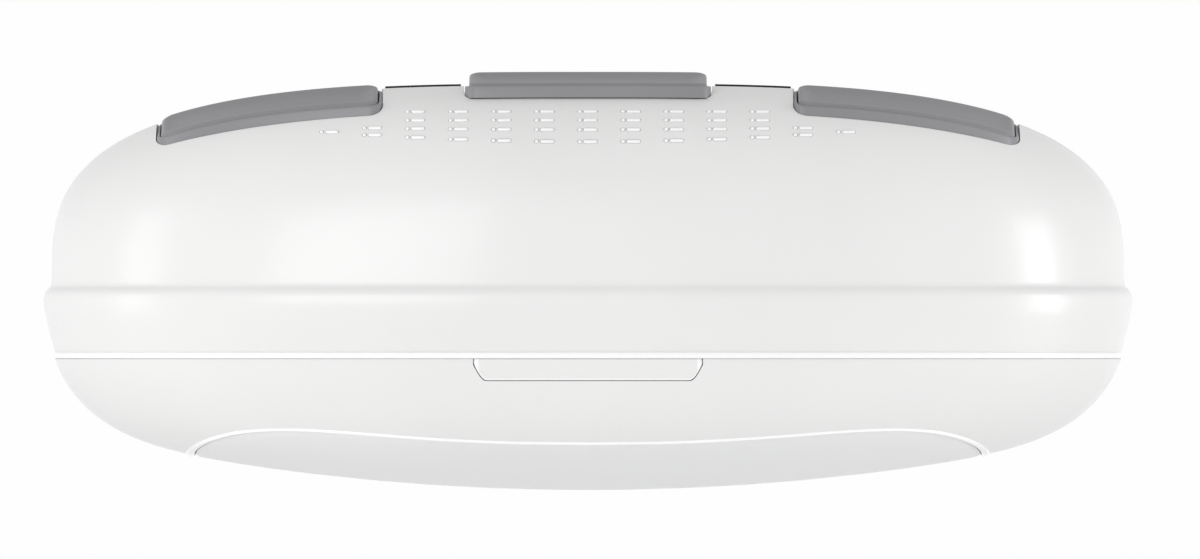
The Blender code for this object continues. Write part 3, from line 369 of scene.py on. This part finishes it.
def add_noise(tree, scale, detail=3.0, stretch=(1, 1, 1)):
    """Noise in the object's own metres, stretched along some axes."""
    where = tree.nodes.new("ShaderNodeTexCoord")
    shape = tree.nodes.new("ShaderNodeMapping")
    shape.inputs["Scale"].default_value = stretch
    noise = tree.nodes.new("ShaderNodeTexNoise")
    noise.inputs["Scale"].default_value = scale
    noise.inputs["Detail"].default_value = detail
    tree.links.new(where.outputs["Object"], shape.inputs["Vector"])
    tree.links.new(shape.outputs["Vector"], noise.inputs["Vector"])
    return noise


def spread(tree, source, low, high):
    """Maps the part of the noise that is common, 0.3 to 0.7, onto a range."""
    remap = tree.nodes.new("ShaderNodeMapRange")
    for label, value in (("From Min", 0.3), ("From Max", 0.7), ("To Min", low), ("To Max", high)):
        remap.inputs[label].default_value = value
    tree.links.new(source, remap.inputs["Value"])
    return remap.outputs["Result"]


def tint(tree, shader, factor, dark, light):
    mix = tree.nodes.new("ShaderNodeMix")
    mix.data_type = "RGBA"
    mix.inputs["A"].default_value = (*dark, 1)
    mix.inputs["B"].default_value = (*light, 1)
    tree.links.new(factor, mix.inputs["Factor"])
    tree.links.new(mix.outputs["Result"], shader.inputs["Base Color"])


def bump(tree, shader, height, distance, strength):
    node = tree.nodes.new("ShaderNodeBump")
    node.inputs["Distance"].default_value = distance
    node.inputs["Strength"].default_value = strength
    tree.links.new(height, node.inputs["Height"])
    tree.links.new(node.outputs["Normal"], shader.inputs["Normal"])


def moulded(name, dark, light, roughness, grain=2600.0, depth=0.00002, strength=0.12,
            coat=0.0, glow=0.0, specular=0.5):
    """Moulded plastic: spark-eroded grain, a slow change of gloss, faint cloudiness of colour."""
    made, tree, shader = new_material(name)
    slow = add_noise(tree, 9.0, 4.0)
    fine = add_noise(tree, grain, 2.0)
    tint(tree, shader, spread(tree, slow.outputs["Fac"], 0, 1), dark, light)
    tree.links.new(spread(tree, slow.outputs["Fac"], roughness[0], roughness[1]),
                   shader.inputs["Roughness"])
    bump(tree, shader, fine.outputs["Fac"], depth, strength)
    shader.inputs["Specular IOR Level"].default_value = specular
    if coat:
        shader.inputs["Coat Weight"].default_value = coat
        shader.inputs["Coat Roughness"].default_value = 0.15
    if glow:
        shader.inputs["Subsurface Weight"].default_value = glow
        shader.inputs["Subsurface Radius"].default_value = (0.004, 0.004, 0.0038)
        shader.inputs["Subsurface Scale"].default_value = 1.0
    return made


def metal(name, dark, light, roughness, stretch, grain=420.0, depth=0.00003):
    """Metal with a directional grain: drawn, rolled or brushed."""
    made, tree, shader = new_material(name)
    streak = add_noise(tree, grain, 4.0, stretch)
    slow = add_noise(tree, 30.0, 3.0)
    tint(tree, shader, spread(tree, slow.outputs["Fac"], 0, 1), dark, light)
    tree.links.new(spread(tree, streak.outputs["Fac"], roughness[0], roughness[1]),
                   shader.inputs["Roughness"])
    bump(tree, shader, streak.outputs["Fac"], depth, 0.25)
    shader.inputs["Metallic"].default_value = 1.0
    return made


# Finishes, one for each material slot of the record and a few variations of them

WHITE = moulded("shell white", (0.80, 0.80, 0.795), (0.83, 0.83, 0.825), (0.30, 0.36), coat=0.25)
# A brighter, glossier copy of the shell white, laid on edges as a painted highlight: the split-line bead, the lens
# lip, the vent lips and the tab's ends and foot.
HIGHLIGHT_WHITE = moulded("painted highlight white", (0.95, 0.95, 0.95), (0.97, 0.97, 0.97), (0.16, 0.22), coat=0.8)
TRAY = moulded("tray white", (0.78, 0.78, 0.78), (0.86, 0.86, 0.85), (0.45, 0.55), grain=1800)
LENS = moulded("milky lens", (0.80, 0.805, 0.805), (0.83, 0.83, 0.83), (0.38, 0.46), grain=1400,
               strength=0.2, glow=0.25)
GREY = moulded("button grey", (0.232, 0.232, 0.243), (0.258, 0.258, 0.270), (0.32, 0.40),
               grain=2000, strength=0.18)
RUBBER = moulded("black rubber", (0.012, 0.012, 0.012), (0.022, 0.022, 0.022), (0.62, 0.8),
                 grain=1500, strength=0.3, specular=0.3)
DECK = moulded("deck black", (0.02, 0.02, 0.021), (0.032, 0.032, 0.033), (0.5, 0.62), grain=1100,
               depth=0.00006, strength=0.35)
DARK = moulded("moulded black", (0.014, 0.014, 0.015), (0.024, 0.024, 0.025), (0.38, 0.5),
               grain=1700)
POWDER = moulded("powder coat", (0.022, 0.022, 0.024), (0.036, 0.036, 0.038), (0.42, 0.56),
                 grain=900, depth=0.00008, strength=0.4)
GREEN = moulded("terminal green", (0.03, 0.27, 0.09), (0.045, 0.33, 0.12), (0.4, 0.5), grain=1700)
YELLOW = moulded("learn yellow", (0.70, 0.47, 0.03), (0.78, 0.54, 0.05), (0.35, 0.45), grain=2000)
PHOSPHOR = moulded("phosphor", (0.80, 0.62, 0.16), (0.86, 0.70, 0.24), (0.3, 0.4), grain=3000)
ZINC = metal("zinc plate", (0.52, 0.53, 0.53), (0.66, 0.66, 0.63), (0.24, 0.42), (1, 9, 9))
CAST = metal("cast aluminium", (0.42, 0.42, 0.43), (0.56, 0.56, 0.56), (0.42, 0.6), (1, 1, 1),
             grain=260, depth=0.00012)
BRONZE = metal("bronze", (0.50, 0.33, 0.11), (0.64, 0.44, 0.17), (0.26, 0.4), (3, 3, 12),
               grain=300)


def winding():
    """Enamelled copper wire laid side by side."""
    made, tree, shader = new_material("copper winding")
    where = tree.nodes.new("ShaderNodeTexCoord")
    lay = tree.nodes.new("ShaderNodeTexWave")
    lay.bands_direction = "Z"
    lay.inputs["Scale"].default_value = 260.0
    lay.inputs["Distortion"].default_value = 1.2
    tree.links.new(where.outputs["Object"], lay.inputs["Vector"])
    tint(tree, shader, lay.outputs["Fac"], (0.20, 0.06, 0.02), (0.62, 0.26, 0.09))
    bump(tree, shader, lay.outputs["Fac"], 0.0002, 0.8)
    shader.inputs["Metallic"].default_value = 0.85
    shader.inputs["Roughness"].default_value = 0.34
    return made


def circuit():
    """Solder mask with fine copper traces under it and pale pads."""
    made, tree, shader = new_material("circuit board")
    where = tree.nodes.new("ShaderNodeTexCoord")
    cells = tree.nodes.new("ShaderNodeTexBrick")
    cells.inputs["Scale"].default_value = 190.0
    cells.inputs["Mortar Size"].default_value = 0.07
    cells.inputs["Color1"].default_value = (0.010, 0.105, 0.045, 1)
    cells.inputs["Color2"].default_value = (0.014, 0.150, 0.062, 1)
    cells.inputs["Mortar"].default_value = (0.030, 0.230, 0.090, 1)
    turn = tree.nodes.new("ShaderNodeMapping")
    turn.inputs["Rotation"].default_value = (math.radians(90), 0, 0)
    tree.links.new(where.outputs["Object"], turn.inputs["Vector"])
    tree.links.new(turn.outputs["Vector"], cells.inputs["Vector"])
    tree.links.new(cells.outputs["Color"], shader.inputs["Base Color"])
    bump(tree, shader, cells.outputs["Fac"], 0.00004, 0.5)
    shader.inputs["Roughness"].default_value = 0.3
    shader.inputs["Coat Weight"].default_value = 0.3
    return made


FINISHES = {
    "white_shell": WHITE, "lamp_white": TRAY, "milky_lens": LENS, "button_grey": GREY,
    "black_rubber": RUBBER, "black_deck": DECK, "black_steel": POWDER, "zinc_steel": ZINC,
    "cast_aluminium": CAST, "copper_winding": winding(), "bronze_gear": BRONZE,
    "board_green": circuit(), "part_black": DARK, "terminal_green": GREEN, "learn_yellow": YELLOW,
}


def stand_for(made, body, slot, *nodes):
    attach(made, body)
    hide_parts(*nodes)
    return made


# Push buttons

def button_frame(button, inset):
    """Points (x, v) round a button, with v from 0 at its front edge to 1 at its rear edge."""
    start, end = button["x"]
    front, rear = button["edges"]
    half_x, half_f = (end - start) / 2 - inset, (front - rear) / 2 - inset
    corner = BUTTON_CORNER - inset / 2
    straight = [half_x - corner, half_f - corner]
    points = []
    for quarter, (side_x, side_f) in enumerate([(1, 1), (-1, 1), (-1, -1), (1, -1)]):
        for i in range(CORNER_STEPS + 1):
            turn = math.radians(90 * (quarter + i / CORNER_STEPS))
            points.append((side_x * straight[0] + corner * math.cos(turn),
                           side_f * straight[1] + corner * math.sin(turn)))
        if quarter in (0, 2):
            for i in range(1, EDGE_STEPS):
                along = straight[0] * (1 - 2 * i / EDGE_STEPS)
                points.append((along if quarter == 0 else -along, side_f * half_f))
    middle_x, middle_f = (start + end) / 2, (front + rear) / 2
    return [(middle_x + x, (front - middle_f - f) / (front - rear)) for x, f in points]


def button_point(button, x, v, height):
    """A point over the bezel's rim line, at x and v."""
    front, rear = button["edges"]
    rim = button["rim"][0] + (button["rim"][1] - button["rim"][0]) * v
    forward = front + (rear - front) * v
    return x, crest_y(x) - forward, arch(x) + rim + height


def button_ring(button, inset, height):
    return [button_point(button, x, v, height) for x, v in button_frame(button, inset)]


def pocket(button):
    def build(drawn):
        floor = button_ring(button, -CAP_GAP, -POCKET_DEPTH)
        add_block(drawn, [floor, [(x, y, z + 30) for x, y, z in floor]])
    return build


def bezel(side):
    """A frame round the cap with a rounded rim."""
    button = BUTTONS[side]
    rings = [button_ring(button, inset, height) for inset, height in BEZEL_PROFILE]
    made = mesh_object(f"fine_bezel_{side}", lambda drawn: skin(drawn, rings, wrap=True), GREY)
    return stand_for(made, "powerhead", "button_grey", f"button_bezel_{side}")


def cap_rise(button, v):
    """Rise of the cap over the rim, from its front lip up to its rear ridge."""
    low, high = button["rise"]
    return low + (high - low) * v ** CAP_SWEEP


def cap(side):
    """A cap with rolled edges and a dished top, on a stem."""
    button = BUTTONS[side]
    inset = BEZEL_WALL + CAP_GAP
    rings = [button_ring(button, inset, -CAP_BELOW_RIM)]
    for step, drop in CAP_PROFILE:
        rings.append([button_point(button, x, v, cap_rise(button, v) - drop)
                      for x, v in button_frame(button, inset + step)])
    made = mesh_object(f"fine_cap_{side}", lambda drawn: add_block(drawn, rings), GREY)
    x, y = stem_place(side)
    front, rear = button["edges"]
    v = (front - crest_y(x) + y) / (front - rear)
    top = button_point(button, x, v, STEM_TOP)[2]
    bottom = arch(x) - STEM_BELOW_CREST
    boolean(made, lambda drawn: add_cylinder(
        drawn, STEM_RADIUS, top - bottom, (x, y, (bottom + top) / 2)), "UNION")
    return stand_for(made, f"button_{side}", "button_grey", f"button_cap_{side}")


def stem_place(side):
    x = sum(BUTTONS[side]["x"]) / 2
    return x, crest_y(x) + (CENTRE_STEM_BACK if side == "centre" else SIDE_STEM_BACK)


# Housing, deck and cover

def vent_rows(column):
    out = abs(column) / (VENT_FULL_COLUMNS + 1)
    rows = [z + lift * out * out for z, lift in zip(VENT_ROWS, VENT_SIDE_LIFT)]
    if abs(column) <= VENT_FULL_COLUMNS:
        return rows
    return rows[2:] if abs(column) == VENT_FULL_COLUMNS + 1 else rows[3:]


def slope_frame(x, z):
    """A point of the front slope with its directions along x, upwards and outwards."""
    step = 0.4
    here = Vector((x, -front_of_shoulder(x, z), z))
    along = Vector((step, front_of_shoulder(x, z) - front_of_shoulder(x + step, z), 0)).normalized()
    up = Vector((0, front_of_shoulder(x, z) - front_of_shoulder(x, z + step), step)).normalized()
    return here, along, up, along.cross(up).normalized()


def pill(x, z, half_width, half_height, height):
    """A round-ended outline on the slope, at a height over it."""
    here, along, up, outwards = slope_frame(x, z)
    side = max(0.0, half_width - half_height)
    outline = []
    for i in range(VENT_POINTS):
        turn = 2 * math.pi * (i + 0.5) / VENT_POINTS
        u = math.copysign(side, math.cos(turn)) + half_height * math.cos(turn)
        outline.append(here + along * u + up * half_height * math.sin(turn) + outwards * height)
    return outline


def vent_places():
    for column in range(-VENT_FULL_COLUMNS - 2, VENT_FULL_COLUMNS + 3):
        for z in vent_rows(column):
            for offset, half_width in VENT_PARTS:
                yield column * VENT_PITCH + offset, z, half_width


def add_grooves(drawn):
    for x, z, half_width in vent_places():
        half = half_width + VENT_GROOVE_HALF - VENT_LIP_HALF
        add_bar(drawn, [pill(x, z, half, VENT_GROOVE_HALF, height) for height in GROOVE_HEIGHTS])


def vent_lips():
    """Rounded lips that stand in the grooves; their shape catches some light, and the brighter white adds a
    painted highlight on them.
    """
    def build(drawn):
        for x, z, half_width in vent_places():
            add_bar(drawn, [pill(x, z, half_width - shrink, VENT_LIP_HALF - shrink, height)
                            for shrink, height in LIP_PROFILE])
    made = mesh_object("vent_lips", build, HIGHLIGHT_WHITE)
    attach(made, "powerhead")


def upper_housing():
    """The white shell, with its bead, belt and crest roll, and its inside face."""
    edge_x, edge_y = BELT_INSIDE[0][1:]
    belt = [(z, edge_x + out, edge_y + out) for z, out in BEAD] + BELT
    rings = [arched_ring(half_x, z, half_y, z, BODY_POWER) for z, half_x, half_y in belt]
    rings += [arched_ring(*shoulder(level), body_power(level)) for level in SHOULDER_LEVELS]
    for inset, drop in CREST_ROLL:
        rings.append(arched_ring(CREST_HALF_X - inset, arch(CREST_HALF_X) - drop,
                                 CREST_HALF_Y - inset, arch(0) - drop, CREST_POWER))
    for level in reversed(SHOULDER_LEVELS[3:14:2]):
        rings.append(arched_ring(*shoulder_inside(level), body_power(level)))
    for z, half_x, half_y in reversed(BELT_INSIDE):
        rings.append(arched_ring(half_x - WALL, z, half_y - WALL, z, BODY_POWER))
    made = mesh_object("fine_upper_housing", lambda drawn: skin(drawn, rings, wrap=True), WHITE)
    # The faces of the bead at the split line take the brighter white: a painted highlight along the seam.
    made.data.materials.append(HIGHLIGHT_WHITE)
    for face in made.data.polygons:
        if face.center.z < SPLIT_Z + BEAD_TOP * MM:
            face.material_index = 1
    for button in BUTTONS.values():
        boolean(made, pocket(button))
    for side in ("left", "right"):
        x, y = stem_place(side)
        boolean(made, lambda drawn: add_cylinder(
            drawn, STEM_HOLE_RADIUS, STEM_HOLE_LENGTH, (x, y, arch(x) - STEM_HOLE_LENGTH / 2)))
    boolean(made, add_grooves)
    for corners in (RAIL_NOTCH, INLET_HOLE, TERMINAL_HOLE):
        boolean(made, lambda drawn: add_box(drawn, *corners))
    boolean(made, lambda drawn: add_cylinder(
        drawn, LEARN_HOLE_RADIUS, LEARN_HOLE_LENGTH, LEARN_HOLE_PLACE, "Y"))
    return stand_for(made, "powerhead", "white_shell", "upper_housing")


def top_deck():
    """The dark sheet inside the crest, open round the chassis plate."""
    half_x, half_y = CREST_HALF_X - WALL - DECK_GAP, CREST_HALF_Y - WALL - DECK_GAP

    def ring(scale, drop):
        return [(x, y, arch(x) - drop)
                for x, y in plan_ring(half_x * scale, half_y * scale, CREST_POWER)]

    rings = [ring(scale, DECK_DROP) for scale in (0.12, 0.3, 0.5, 0.7, 0.85, 0.95, 0.995)]
    rings += [ring(1.0, DECK_DROP + 0.3), ring(1.0, DECK_UNDER)]
    rings += [ring(scale, DECK_UNDER) for scale in (0.95, 0.7, 0.5, 0.3, 0.12)]
    poles = [(0, 0, arch(0) - DECK_DROP), (0, 0, arch(0) - DECK_UNDER)]
    made = mesh_object("fine_top_deck", lambda drawn: add_domed(drawn, rings, *poles), DECK)
    for corners in (CHASSIS_HOLE, RAIL_NOTCH):
        boolean(made, lambda drawn: add_box(drawn, *corners))
    x, y = stem_place("centre")
    boolean(made, lambda drawn: add_cylinder(
        drawn, STEM_HOLE_RADIUS, STEM_HOLE_LENGTH, (x, y, DECK_HOLE_Z)))
    return stand_for(made, "powerhead", "black_deck", "top_deck")


def crest_seal(side, start, end):
    """A rubber strip between the crest and the deck, rounded along its top."""
    sections = []
    for i in range(SEAL_STEPS + 1):
        x = start + (end - start) * i / SEAL_STEPS
        front = crest_y(x) + WALL + 0.5
        low, high = arch(x) - SEAL_BELOW, arch(x) + SEAL_RISE
        sections.append([(x, front, low), (x, front, high - 0.3), (x, front + 0.3, high),
                         (x, front + 1.2, high - 0.1), (x, front + SEAL_WIDTH, high - 0.6),
                         (x, front + SEAL_WIDTH, low)])
    made = mesh_object(f"fine_crest_seal_{side}", lambda drawn: add_bar(drawn, sections), RUBBER)
    return stand_for(made, "powerhead", "black_rubber", f"crest_seal_{side}")


def cover_ring(along, inset):
    """A ring of the bowl, a share of the way from its edge to the lens opening."""
    edge = plan_ring(COVER_HALF_X, COVER_HALF_Y, BODY_POWER)
    opening = plan_ring(LENS_HALF_X, LENS_HALF_Y, LENS_POWER)
    return [on_cover(edge_x + (open_x - edge_x) * along, edge_y + (open_y - edge_y) * along, inset)
            for (edge_x, edge_y), (open_x, open_y) in zip(edge, opening)]


def lower_cover():
    """The bowl, with a rounded lip round the lens opening."""
    outer, inner = [], []
    for k in range(COVER_STEPS + 1):
        ring = cover_ring(EDGE_SHARE + BOWL_SHARE * (k / COVER_STEPS) ** COVER_CROWDING, 0.0)
        if max(z for _, _, z in ring) < -SPLIT_GAP - 0.9:
            outer.append(ring)
    for step in range(LIP_STEPS + 1):
        rise = LIP_RISE * math.sin(math.pi * step / LIP_STEPS) ** 0.7
        outer.append(cover_ring(LIP_START + LIP_SHARE * step / LIP_STEPS, -rise))
    for k in range(COVER_INSIDE_STEPS + 1):
        inwards = (k / COVER_INSIDE_STEPS) ** COVER_CROWDING
        ring = cover_ring(EDGE_SHARE + (1 - EDGE_SHARE) * inwards, WALL)
        if ring[0][2] < -SPLIT_GAP - 2:
            inner.append(ring)
    edge = cover_ring(EDGE_SHARE, 0.0)
    top = [[(x * EDGE_TUCK[0], y * EDGE_TUCK[1], -SPLIT_GAP) for x, y, _ in edge],
           [(x, y, -SPLIT_GAP - 0.35) for x, y, _ in edge]]
    inside = [(x * EDGE_INSIDE[0], y * EDGE_INSIDE[1], -SPLIT_GAP) for x, y, _ in edge]
    rings = top + outer + inner[::-1] + [inside]
    made = mesh_object("fine_lower_cover", lambda drawn: skin(drawn, rings, wrap=True), WHITE)
    # The lip round the lens opening takes the brighter white: a painted highlight along its rim.
    made.data.materials.append(HIGHLIGHT_WHITE)
    last = RING_POINTS * (len(top) + len(outer) - 1)
    for face in made.data.polygons[last - LIP_STEPS * RING_POINTS:last]:
        face.material_index = 1
    boolean(made, lambda drawn: add_bar(drawn, paddle_sections(PADDLE_NOTCH_GAP, True)))
    for x in (-HINGE_X, HINGE_X):
        boolean(made, lambda drawn: add_box(
            drawn, (x - KNUCKLE_LENGTH / 2, EAR_FRONT_Y, EAR_BOTTOM),
            (x + KNUCKLE_LENGTH / 2, HINGE_Y, EAR_TOP)), "UNION")
        boolean(made, lambda drawn: add_cylinder(
            drawn, KNUCKLE_RADIUS, KNUCKLE_LENGTH, (x, HINGE_Y, 0), "X"), "UNION")
        boolean(made, lambda drawn: add_cylinder(drawn, HINGE_BORE, 20, (x, HINGE_Y, 0), "X"))
    return stand_for(made, "cover", "white_shell", "lower_cover")


def light_lens():
    """The oval panel, which carries on the bowl's curve."""
    half_x, half_y = LENS_HALF_X - LENS_GAP, LENS_HALF_Y - LENS_GAP

    def ring(scale, inset):
        return [on_cover(x, y, inset)
                for x, y in plan_ring(half_x * scale, half_y * scale, LENS_POWER)]

    rings = [ring(scale, 0.0) for scale in (0.1, 0.25, 0.4, 0.55, 0.7, 0.82, 0.91, 0.96, 0.985)]
    rings += [ring(0.995, 0.15), ring(1.0, 0.6), ring(1.0, WALL)]
    rings += [ring(scale, WALL) for scale in (0.91, 0.7, 0.4, 0.1)]
    poles = [(0, 0, -BELLY_DEPTH), (0, 0, WALL - BELLY_DEPTH)]
    made = mesh_object("fine_light_lens", lambda drawn: add_domed(drawn, rings, *poles), LENS)
    return stand_for(made, "cover", "milky_lens", "light_lens")


# Latch

def paddle_foot(x, grow):
    """Height of the tab's lower edge: level in the middle, turned up at both ends."""
    half = PADDLE_TOP_HALF + grow
    reach = min(1.0, (half - abs(x)) / (half - PADDLE_FOOT_HALF - grow))
    return -(PADDLE_DEPTH + grow) * min(1.0, 0.35 + 0.65 * math.sin(reach * math.pi / 2))


def paddle_sections(grow, notch):
    """Upright sections of the tab along x, or of the notch that the cover has for it."""
    half = PADDLE_TOP_HALF + grow
    stations = [-half + (half - PADDLE_FOOT_HALF - grow) * i / 8 for i in range(9)]
    stations += [(PADDLE_FOOT_HALF + grow) * (i / 10 - 1) for i in range(1, 20)]
    stations += [-x for x in reversed(stations[:9])]
    sections = []
    for x in stations:
        foot = paddle_foot(x, grow)
        if notch:
            sections.append([(x, -160, 4), (x, -160, foot), (x, -100, foot), (x, -100, 4)])
            continue
        ends = min(1.0, (half - abs(x)) / PADDLE_END_ROUND)
        tuck = 1.0 - math.sqrt(1.0 - (1.0 - ends) ** 2)
        top = -SPLIT_GAP - 0.1
        rows = [(top, 0.35), (top - 0.35, 0.0)]
        straight = foot + PADDLE_FOOT_ROUND - top + 0.35
        rows += [(top - 0.35 + straight * i / 5, 0.0) for i in range(1, 6)]
        rows += [(foot + 0.75, 0.12), (foot + 0.3, 0.45), (foot, 1.0)]
        if foot + PADDLE_FOOT_ROUND > top - 0.5:
            rows = [(top - (top - foot) * i / 9, 0.1 * i) for i in range(10)]
        face = []
        for z, back in rows:
            proud = 0.3 + 0.5 * min(1.0, z / foot) ** 2
            face.append((x, -front_of_cover(x, max(z, -9.0)) - proud + back + tuck, z))
        rear = -front_of_cover(x, -2.0) + 2.3
        sections.append(face + [(x, rear, foot), (x, rear, top)])
    return sections


def latch_paddle():
    """The finger tab, with a painted highlight in the brighter white along its rounded ends and foot, and its boss
    and hook behind.
    """
    sections = paddle_sections(0, False)
    made = mesh_object("fine_latch_paddle", lambda drawn: add_bar(drawn, sections), WHITE)
    made.data.materials.append(HIGHLIGHT_WHITE)
    for face in made.data.polygons:
        x, z = face.center.x / MM, (face.center.z - SPLIT_Z) / MM
        at_end = abs(x) > PADDLE_TOP_HALF - PADDLE_HIGHLIGHT_END
        if at_end or z < paddle_foot(x, 0) + PADDLE_HIGHLIGHT_FOOT:
            face.material_index = 1
    y, z = PADDLE_PIVOT
    boss = (-9, y - 4.2, z - 2.6), (9, y + 2.6, z + 2.0)
    arm = (-7, y - 1.4, z), (7, y + 2.6, 8.6)
    hook = (-7, y - 1.5, 6.8), (7, y + 1, 8.6)
    for corners in (boss, arm, hook):
        boolean(made, lambda drawn: add_box(drawn, *corners), "UNION")
    boolean(made, lambda drawn: add_cylinder(drawn, PADDLE_BORE, 40, (0, y, z), "X"))
    return stand_for(made, "latch", "white_shell", "latch_paddle")


# Small pieces that the CAD leaves out

def led_emitters():
    """Light emitters under the two lamp boards."""
    def build(drawn):
        for y in BOARD_MIDDLES:
            for i in range(EMITTERS):
                x = EMITTER_PITCH * (i - (EMITTERS - 1) / 2)
                add_box(drawn, (x - EMITTER_HALF, y - EMITTER_HALF, EMITTER_BOTTOM),
                        (x + EMITTER_HALF, y + EMITTER_HALF, EMITTER_TOP))
    made = mesh_object("led_emitters", build, PHOSPHOR)
    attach(made, "powerhead")


def rear_screws():
    """Screw heads in the mains inlet and the terminal block."""
    def build(drawn):
        for x in (-INLET_SCREW_X, INLET_SCREW_X):
            add_cylinder(drawn, INLET_SCREW_RADIUS, 0.6, (x, INLET_SCREW_Y, INLET_Z), "Y",
                         SCREW_SIDES)
        for i in range(TERMINALS):
            x = TERMINAL_START + TERMINAL_PITCH * i
            add_cylinder(drawn, TERMINAL_SCREW_RADIUS, 1.0,
                         (x, TERMINAL_SCREW_Y, TERMINAL_SCREW_Z), "Y", SCREW_SIDES)
    made = mesh_object("rear_screws", build, ZINC)
    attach(made, "powerhead")


upper_housing()
vent_lips()
led_emitters()
rear_screws()
top_deck()
crest_seal("left", -SEAL_SPAN[1], -SEAL_SPAN[0])
crest_seal("right", *SEAL_SPAN)
for each in BUTTONS:
    bezel(each)
    cap(each)
lower_cover()
light_lens()
latch_paddle()


# The remaining nodes keep their shape. They take a finish and a small rounding of their edges.

def dress_nodes():
    slots = {part["node"]: part["material_slot"] for part in frame["record"]["subparts"]}
    for name, node in NODES.items():
        node.data.materials.clear()
        node.data.materials.append(FINISHES[slots[name]])
        node.data.shade_smooth()
        node.data.set_sharp_from_angle(angle=math.radians(CUT_SHARP))
        width = ROUNDING.get(name, COMMON_ROUNDING)
        if width:
            rounding = node.modifiers.new("rounding", "BEVEL")
            rounding.width = width * MM
            rounding.segments = 2
            rounding.limit_method = "ANGLE"
            rounding.angle_limit = math.radians(40)
            rounding.harden_normals = True


dress_nodes()


# Studio: even white surroundings, a soft front light and a pale floor well below

def floor_material():
    made, tree, shader = new_material("studio floor")
    noise = add_noise(tree, 3.0, 3.0)
    tint(tree, shader, noise.outputs["Fac"], (0.86, 0.86, 0.86), (0.90, 0.90, 0.90))
    shader.inputs["Roughness"].default_value = 0.7
    shader.inputs["Emission Color"].default_value = (1, 1, 1, 1)
    shader.inputs["Emission Strength"].default_value = 0.16
    return made


def area_light(name, place, aim, size, energy):
    data = bpy.data.lights.new(name, "AREA")
    data.shape = "RECTANGLE"
    data.size, data.size_y = size
    data.energy = energy
    light = bpy.data.objects.new(name, data)
    light.location = place
    light.rotation_mode = "QUATERNION"
    light.rotation_quaternion = (Vector(aim) - Vector(place)).to_track_quat("-Z", "Y")
    bpy.context.scene.collection.objects.link(light)


def surroundings():
    """White at eye level, a little dimmer overhead."""
    world = bpy.data.worlds.new("studio")
    bpy.context.scene.world = world
    world.use_nodes = True
    tree = world.node_tree
    back = tree.nodes["Background"]
    where = tree.nodes.new("ShaderNodeTexCoord")
    parts = tree.nodes.new("ShaderNodeSeparateXYZ")
    ramp = tree.nodes.new("ShaderNodeValToRGB")
    tree.links.new(where.outputs["Generated"], parts.inputs["Vector"])
    remap = tree.nodes.new("ShaderNodeMapRange")
    remap.inputs["From Min"].default_value = -1.0
    remap.inputs["From Max"].default_value = 1.0
    tree.links.new(parts.outputs["Z"], remap.inputs["Value"])
    tree.links.new(remap.outputs["Result"], ramp.inputs["Fac"])
    tree.links.new(ramp.outputs["Color"], back.inputs["Color"])
    stops = ramp.color_ramp.elements
    stops[0].position, stops[1].position = SKY[0][0], SKY[-1][0]
    for place, _ in SKY[1:-1]:
        stops.new(place)
    for stop, (_, value) in zip(stops, SKY):
        stop.color = (value, value, value, 1)
    back.inputs["Strength"].default_value = 1.0


surroundings()
for name, settings in LIGHTS.items():
    area_light(name, *settings)

bpy.ops.mesh.primitive_circle_add(vertices=96, radius=FLOOR_RADIUS, fill_type="NGON",
                                  location=(0, 0, FLOOR_Z))
floor = bpy.context.object
floor.name = "studio_floor"
floor.data.materials.append(floor_material())

camera_data = bpy.data.cameras.new("camera")
camera_data.sensor_width = SENSOR_WIDTH
camera_data.lens = SENSOR_WIDTH * CAMERA_AWAY / OBJECT_ACROSS
camera_data.shift_x, camera_data.shift_y = CAMERA_SHIFT
camera_data.clip_start, camera_data.clip_end = CAMERA_RANGE
camera = bpy.data.objects.new("camera", camera_data)
camera.location = (0.0, -CAMERA_AWAY, SPLIT_Z)
camera.rotation_euler = (math.radians(90), 0, 0)
bpy.context.scene.collection.objects.link(camera)
bpy.context.scene.camera = camera
bpy.context.scene.view_settings.view_transform = "Standard"
